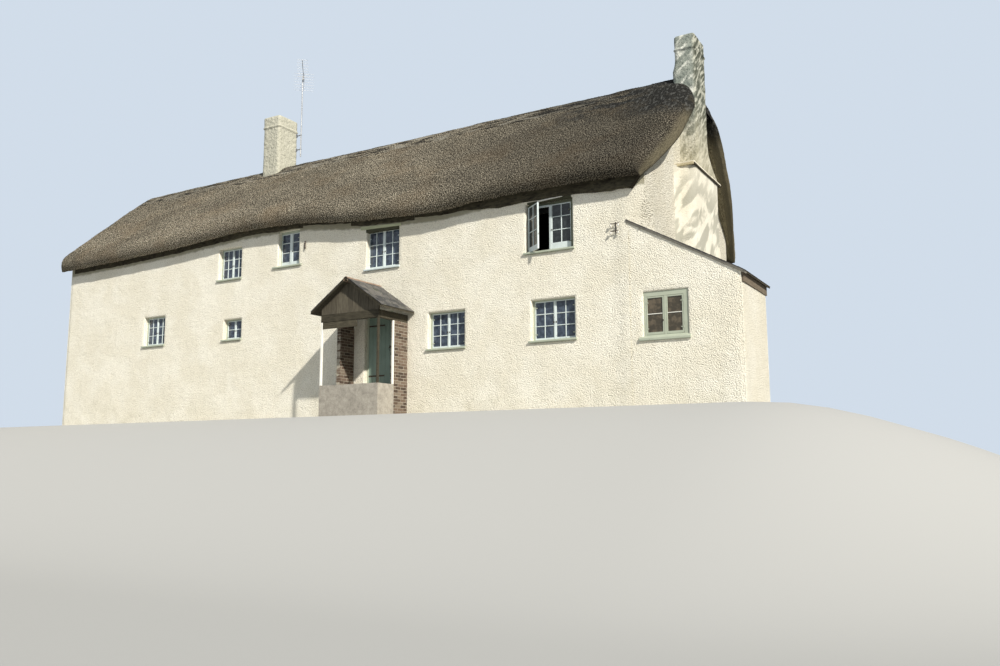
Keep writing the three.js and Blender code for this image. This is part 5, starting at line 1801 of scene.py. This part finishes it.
def buildPorchTimber():
    low, high = houseBox("porch_frame")
    beam, thin, back = porch["beam"], porch["post"], porch["back"]
    z0, z1 = 2.40, 2.60
    stock, posts, board = Stock(), Stock(), Stock()
    for x, outer, into in ((low[0], low[0], posts), (high[0] - beam, high[0] - thin, stock)):
        into.block((outer, low[1], low[2]), (outer + thin, low[1] + thin, z0 + 0.002), 0.006)
        stock.block((x, low[1] + beam - 0.01, z0), (x + beam, -0.001, z1), 0.010)
        stock.block((x + 0.02, -0.09, z0 - 0.02), (x + beam - 0.02, -0.014, z0), 0.006)
    stock.block((low[0], low[1], z0), (high[0], low[1] + beam, z1), 0.010)
    stock.block((low[0] + thin, low[1] + 0.012, z0 - 0.17), (low[0] + 1.15, low[1] + 0.032, z0 + 0.01), 0.004)
    posts.block((high[0] - 0.05, back - 0.052, low[2]), (high[0], back - 0.002, z0), 0.006)
    posts.make("porch_posts", "white", "dark_timber", wobble=0.002)
    stock.make("porch_timber", "dark", "dark_timber", ["porch_frame"], wobble=0.004)
    low, high = houseBox("porch_gable_board")
    middle, count = (low[0] + high[0]) / 2, 11
    wide = (high[0] - low[0]) / count
    for n in range(count):
        a, b = low[0] + n * wide + 0.002, low[0] + (n + 1) * wide - 0.002
        left, right = [max(high[2] - porchFall * abs(x - middle) - 0.002, low[2] + 0.01) for x in (a, b)]
        board.loft([[[a, y, low[2]], [b, y, low[2]], [b, y, right], [a, y, left]]
                    for y in (low[1] + 0.004 * (n % 2), high[1])])
    board.make("porch_gable_boards", "upright", "weathered_board", ["porch_gable_board"])


buildPorchTimber()


def buildPorchRoof():
    middle, half, front = porch["middle"], porch["half"], porch["front"]
    ridge, eave = porch["ridge"] - 0.012, porch["eave"] - 0.012
    for name, side, seed in (("right", 1, 12), ("left", -1, 13)):
        foot = (middle + side * half, eave)
        slateSlope("porch_slates_" + name, foot, (middle, ridge), front, -0.002, side, seed)
    deck, tiles = Stock(), Stock()
    aslant = math.hypot(1, porchFall)
    up, drop = 0.012 - 0.024 * aslant, 0.012 - porch["thick"] * aslant
    outline = [(middle - half, eave + drop), (middle, ridge + drop), (middle + half, eave + drop),
               (middle + half - 0.01, eave + up), (middle, ridge + up), (middle - half + 0.01, eave + up)]
    deck.loft([[[x, y, z] for x, z in outline] for y in (front + 0.01, -0.002)])
    deck.make("porch_deck", "dark", "slate", ["porch_roof"])
    angles = np.radians(np.linspace(-38, 218, 9))
    arch = [(0.075, t) for t in angles] + [(0.060, t) for t in angles[::-1]]
    section = [(middle + radius * math.cos(t), ridge - 0.062 + radius * math.sin(t)) for radius, t in arch]
    y = front
    while y < -0.05:
        end = min(y + 0.30, -0.003)
        tiles.loft([[[x, at, z] for x, z in section] for at in (y + 0.002, end - 0.002)])
        y = end
    tiles.make("porch_ridge_tiles", "clay", "slate")


buildPorchRoof()

print("ironwork and aerial")


def buildServiceBracket():
    low, high = houseBox("service_bracket")
    iron, pots = Stock(), Stock()
    x, radii = -0.70, [0.010, 0.026, 0.024, 0.017, 0.027, 0.018, 0.010]
    iron.block((x - 0.012, -0.024, low[2]), (x + 0.012, -0.006, high[2]), 0.003)
    for z in (low[2] + 0.03, high[2] - 0.03):
        iron.bar((x, -0.034, z), (x, -0.02, z), (0.006, 0.011), 6)
    for z in (4.01, 4.18):
        iron.block((x - 0.11, -0.086, z), (x + 0.09, -0.070, z + 0.018), 0.003)
        iron.block((x - 0.010, -0.078, z), (x + 0.010, -0.02, z + 0.018), 0.003)
        for end in (x - 0.10, x + 0.08):
            pots.bar((end, -0.078, z - 0.058), (end, -0.078, z + 0.002), radii, 14)
            iron.bar((end, -0.078, z - 0.064), (end, -0.078, z + 0.028), 0.005, 6)
    iron.make("service_iron", "iron", "iron", ["service_bracket"])
    pots.make("service_insulators", "pot", "iron", smooth=True)


def buildCableAnchor():
    low, high = houseBox("cable_anchor")
    x = -10.0
    iron = Stock()
    iron.block((x - 0.01, -0.06, high[2] - 0.020), (x + 0.01, -0.004, high[2] - 0.002), 0.003)
    radii = [0.008, 0.020, 0.024, 0.018, 0.024, 0.018, 0.024, 0.014, 0.008]
    iron.bar((x, -0.045, low[2]), (x, -0.045, high[2] - 0.01), radii, 12)
    iron.make("cable_anchor_iron", "iron", "iron", ["cable_anchor"])


aerialLook = {"x": -13.54, "y": 3.39, "z0": 9.15, "z1": 12.05, "boomZ": 11.93, "turn": -49, "length": 1.75,
              "back": 0.25, "directors": 7, "first": 0.20, "last": 1.48, "wide": 0.38, "reflector": 0.68,
              "tall": 0.60, "bars": 7}


def buildAerial():
    a = aerialLook
    pole, yagi = Stock(), Stock()
    x, y, z, edge, thin = a["x"], a["y"], a["boomZ"], stacks["left"]["high"][0], 0.003
    pole.bar((x, y, a["z0"]), (x, y, a["z1"]), 0.021, 12)
    pole.bar((x, y, a["z1"] - 0.004), (x, y, a["z1"] + 0.001), (0.023, 0.015), 12)
    turns = np.linspace(0, 2 * math.pi, 13)
    for foot in (9.40, 9.90):
        for low in (foot, foot + 0.022):
            pole.block((edge, y - 0.014, low), (x - 0.015, y + 0.014, low + 0.006), 0.001)
        pole.block((edge - 0.002, y - 0.05, foot - 0.04), (edge + 0.006, y + 0.03, foot + 0.07), 0.001)
        ring = [(x + 0.026 * math.cos(t), y + 0.026 * math.sin(t), foot + 0.014) for t in turns]
        pole.chain(ring, 0.005)
    pole.make("aerial_pole", "metal", "galvanised_metal", ["aerial_mast"])
    turn = (Matrix.Rotation(math.radians(a["turn"]), 3, "Z"), np.array([x, y, 0.0]))
    beside, back, tall = y + 0.0323, x - a["back"], a["tall"] / 2
    yagi.bar((back, beside, z), (x + a["length"] - a["back"], beside, z), 0.010, 8, turn)
    for n in range(a["directors"]):
        # each director is a folded rod
        at = x + a["first"] + n * (a["last"] - a["first"]) / (a["directors"] - 1)
        half = a["wide"] / 2 * (1 - 0.02 * n)
        for start, end in (((-half, 0.012), (half, 0.012)), ((-half, -0.012), (half, -0.012)),
                           ((-half, -0.012), (-half, 0.012)), ((half, -0.012), (half, 0.012))):
            yagi.bar((at, beside + start[0], z + start[1]), (at, beside + end[0], z + end[1]), thin, 6, turn)
    for n in range(a["bars"]):
        height, half = z - tall + n * a["tall"] / (a["bars"] - 1), a["reflector"] / 2
        yagi.bar((back, beside - half, height), (back, beside + half, height), 0.004, 6, turn)
    yagi.bar((back, beside, z - tall - 0.004), (back, beside, z + tall + 0.004), 0.006, 8, turn)
    yagi.block((x - 0.03, beside - 0.05, z - 0.022), (x + 0.03, beside + 0.012, z - 0.011), 0.003, turn)
    yagi.block((x + 0.05, beside - 0.022, z - 0.055), (x + 0.11, beside + 0.022, z - 0.012), 0.006, turn)
    yagi.make("aerial_rods", "metal", "galvanised_metal", ["aerial"])


buildServiceBracket()
buildCableAnchor()
buildAerial()

print("stage")

stage = {"flat": (-21.1, 2.6, -1.7, 6.9), "fall": 9.0, "drop": 2.6, "reach": 46.0}


def buildGround():
    # a smooth pale mound, level under the cottage and banking down to the camera
    count = 140
    lines = np.linspace(-stage["reach"], stage["reach"], count)
    x, y = np.meshgrid(lines - 9.0, lines + 2.0, indexing="ij")
    z = -stage["drop"] * smoothStep(outside(x, y, *stage["flat"]), 0, stage["fall"]) - 0.002
    mesh = plainMesh("ground", np.stack([x, y, z], -1), gridFaces(count, count), "ground", smooth=True)
    ground = addObject("ground", mesh)


buildGround()


sky = {"colour": (0.78, 0.88, 1.0), "light": 0.32, "seen": 0.50}
# Each lamp's strength, width in degrees, colour, and where it stands
lamps = {"sun": (5.5, 1.6, (1.0, 0.955, 0.88), sunward),
         "sky_fill": (0.5, 100.0, (0.93, 0.96, 1.0), (-0.3, -1.0, 0.30))}


def lightScene():
    world = bpy.data.worlds.new("studio")
    scene.world = world
    world.use_nodes = True
    nodes = Nodes(world.node_tree)
    background = world.node_tree.nodes["Background"]
    background.inputs[0].default_value = (*sky["colour"], 1)
    # the backdrop is seen paler than the light it gives
    seen = nodes.node("ShaderNodeLightPath", out="Is Camera Ray")
    nodes.feed(background.inputs[1], seen * sky["seen"] + sky["light"])
    for name, (energy, angle, colour, towards) in lamps.items():
        lamp = bpy.data.lights.new(name, "SUN")
        lamp.energy = energy
        lamp.angle = math.radians(angle)
        lamp.color = colour
        addObject(name, lamp).rotation_euler = Vector(towards).to_track_quat("Z", "Y").to_euler()
    scene.view_settings.view_transform = "Standard"


view = {"place": (6.65, -17.8, -1.0), "pitch": 8.134, "yaw": 30.2546, "roll": -0.2, "lens": 31.37}


def addCamera():
    data = bpy.data.cameras.new("camera")
    data.lens = view["lens"]
    data.sensor_width = 36
    data.clip_end = 300
    camera = addObject("camera", data)
    turn = Euler((math.radians(90 + view["pitch"]), 0, math.radians(view["yaw"]))).to_matrix()
    turn = turn @ Matrix.Rotation(math.radians(view["roll"]), 3, "Z")
    camera.matrix_world = Matrix.Translation(Vector(view["place"]) + Vector(shift)) @ turn.to_4x4()
    scene.camera = camera


lightScene()
addCamera()
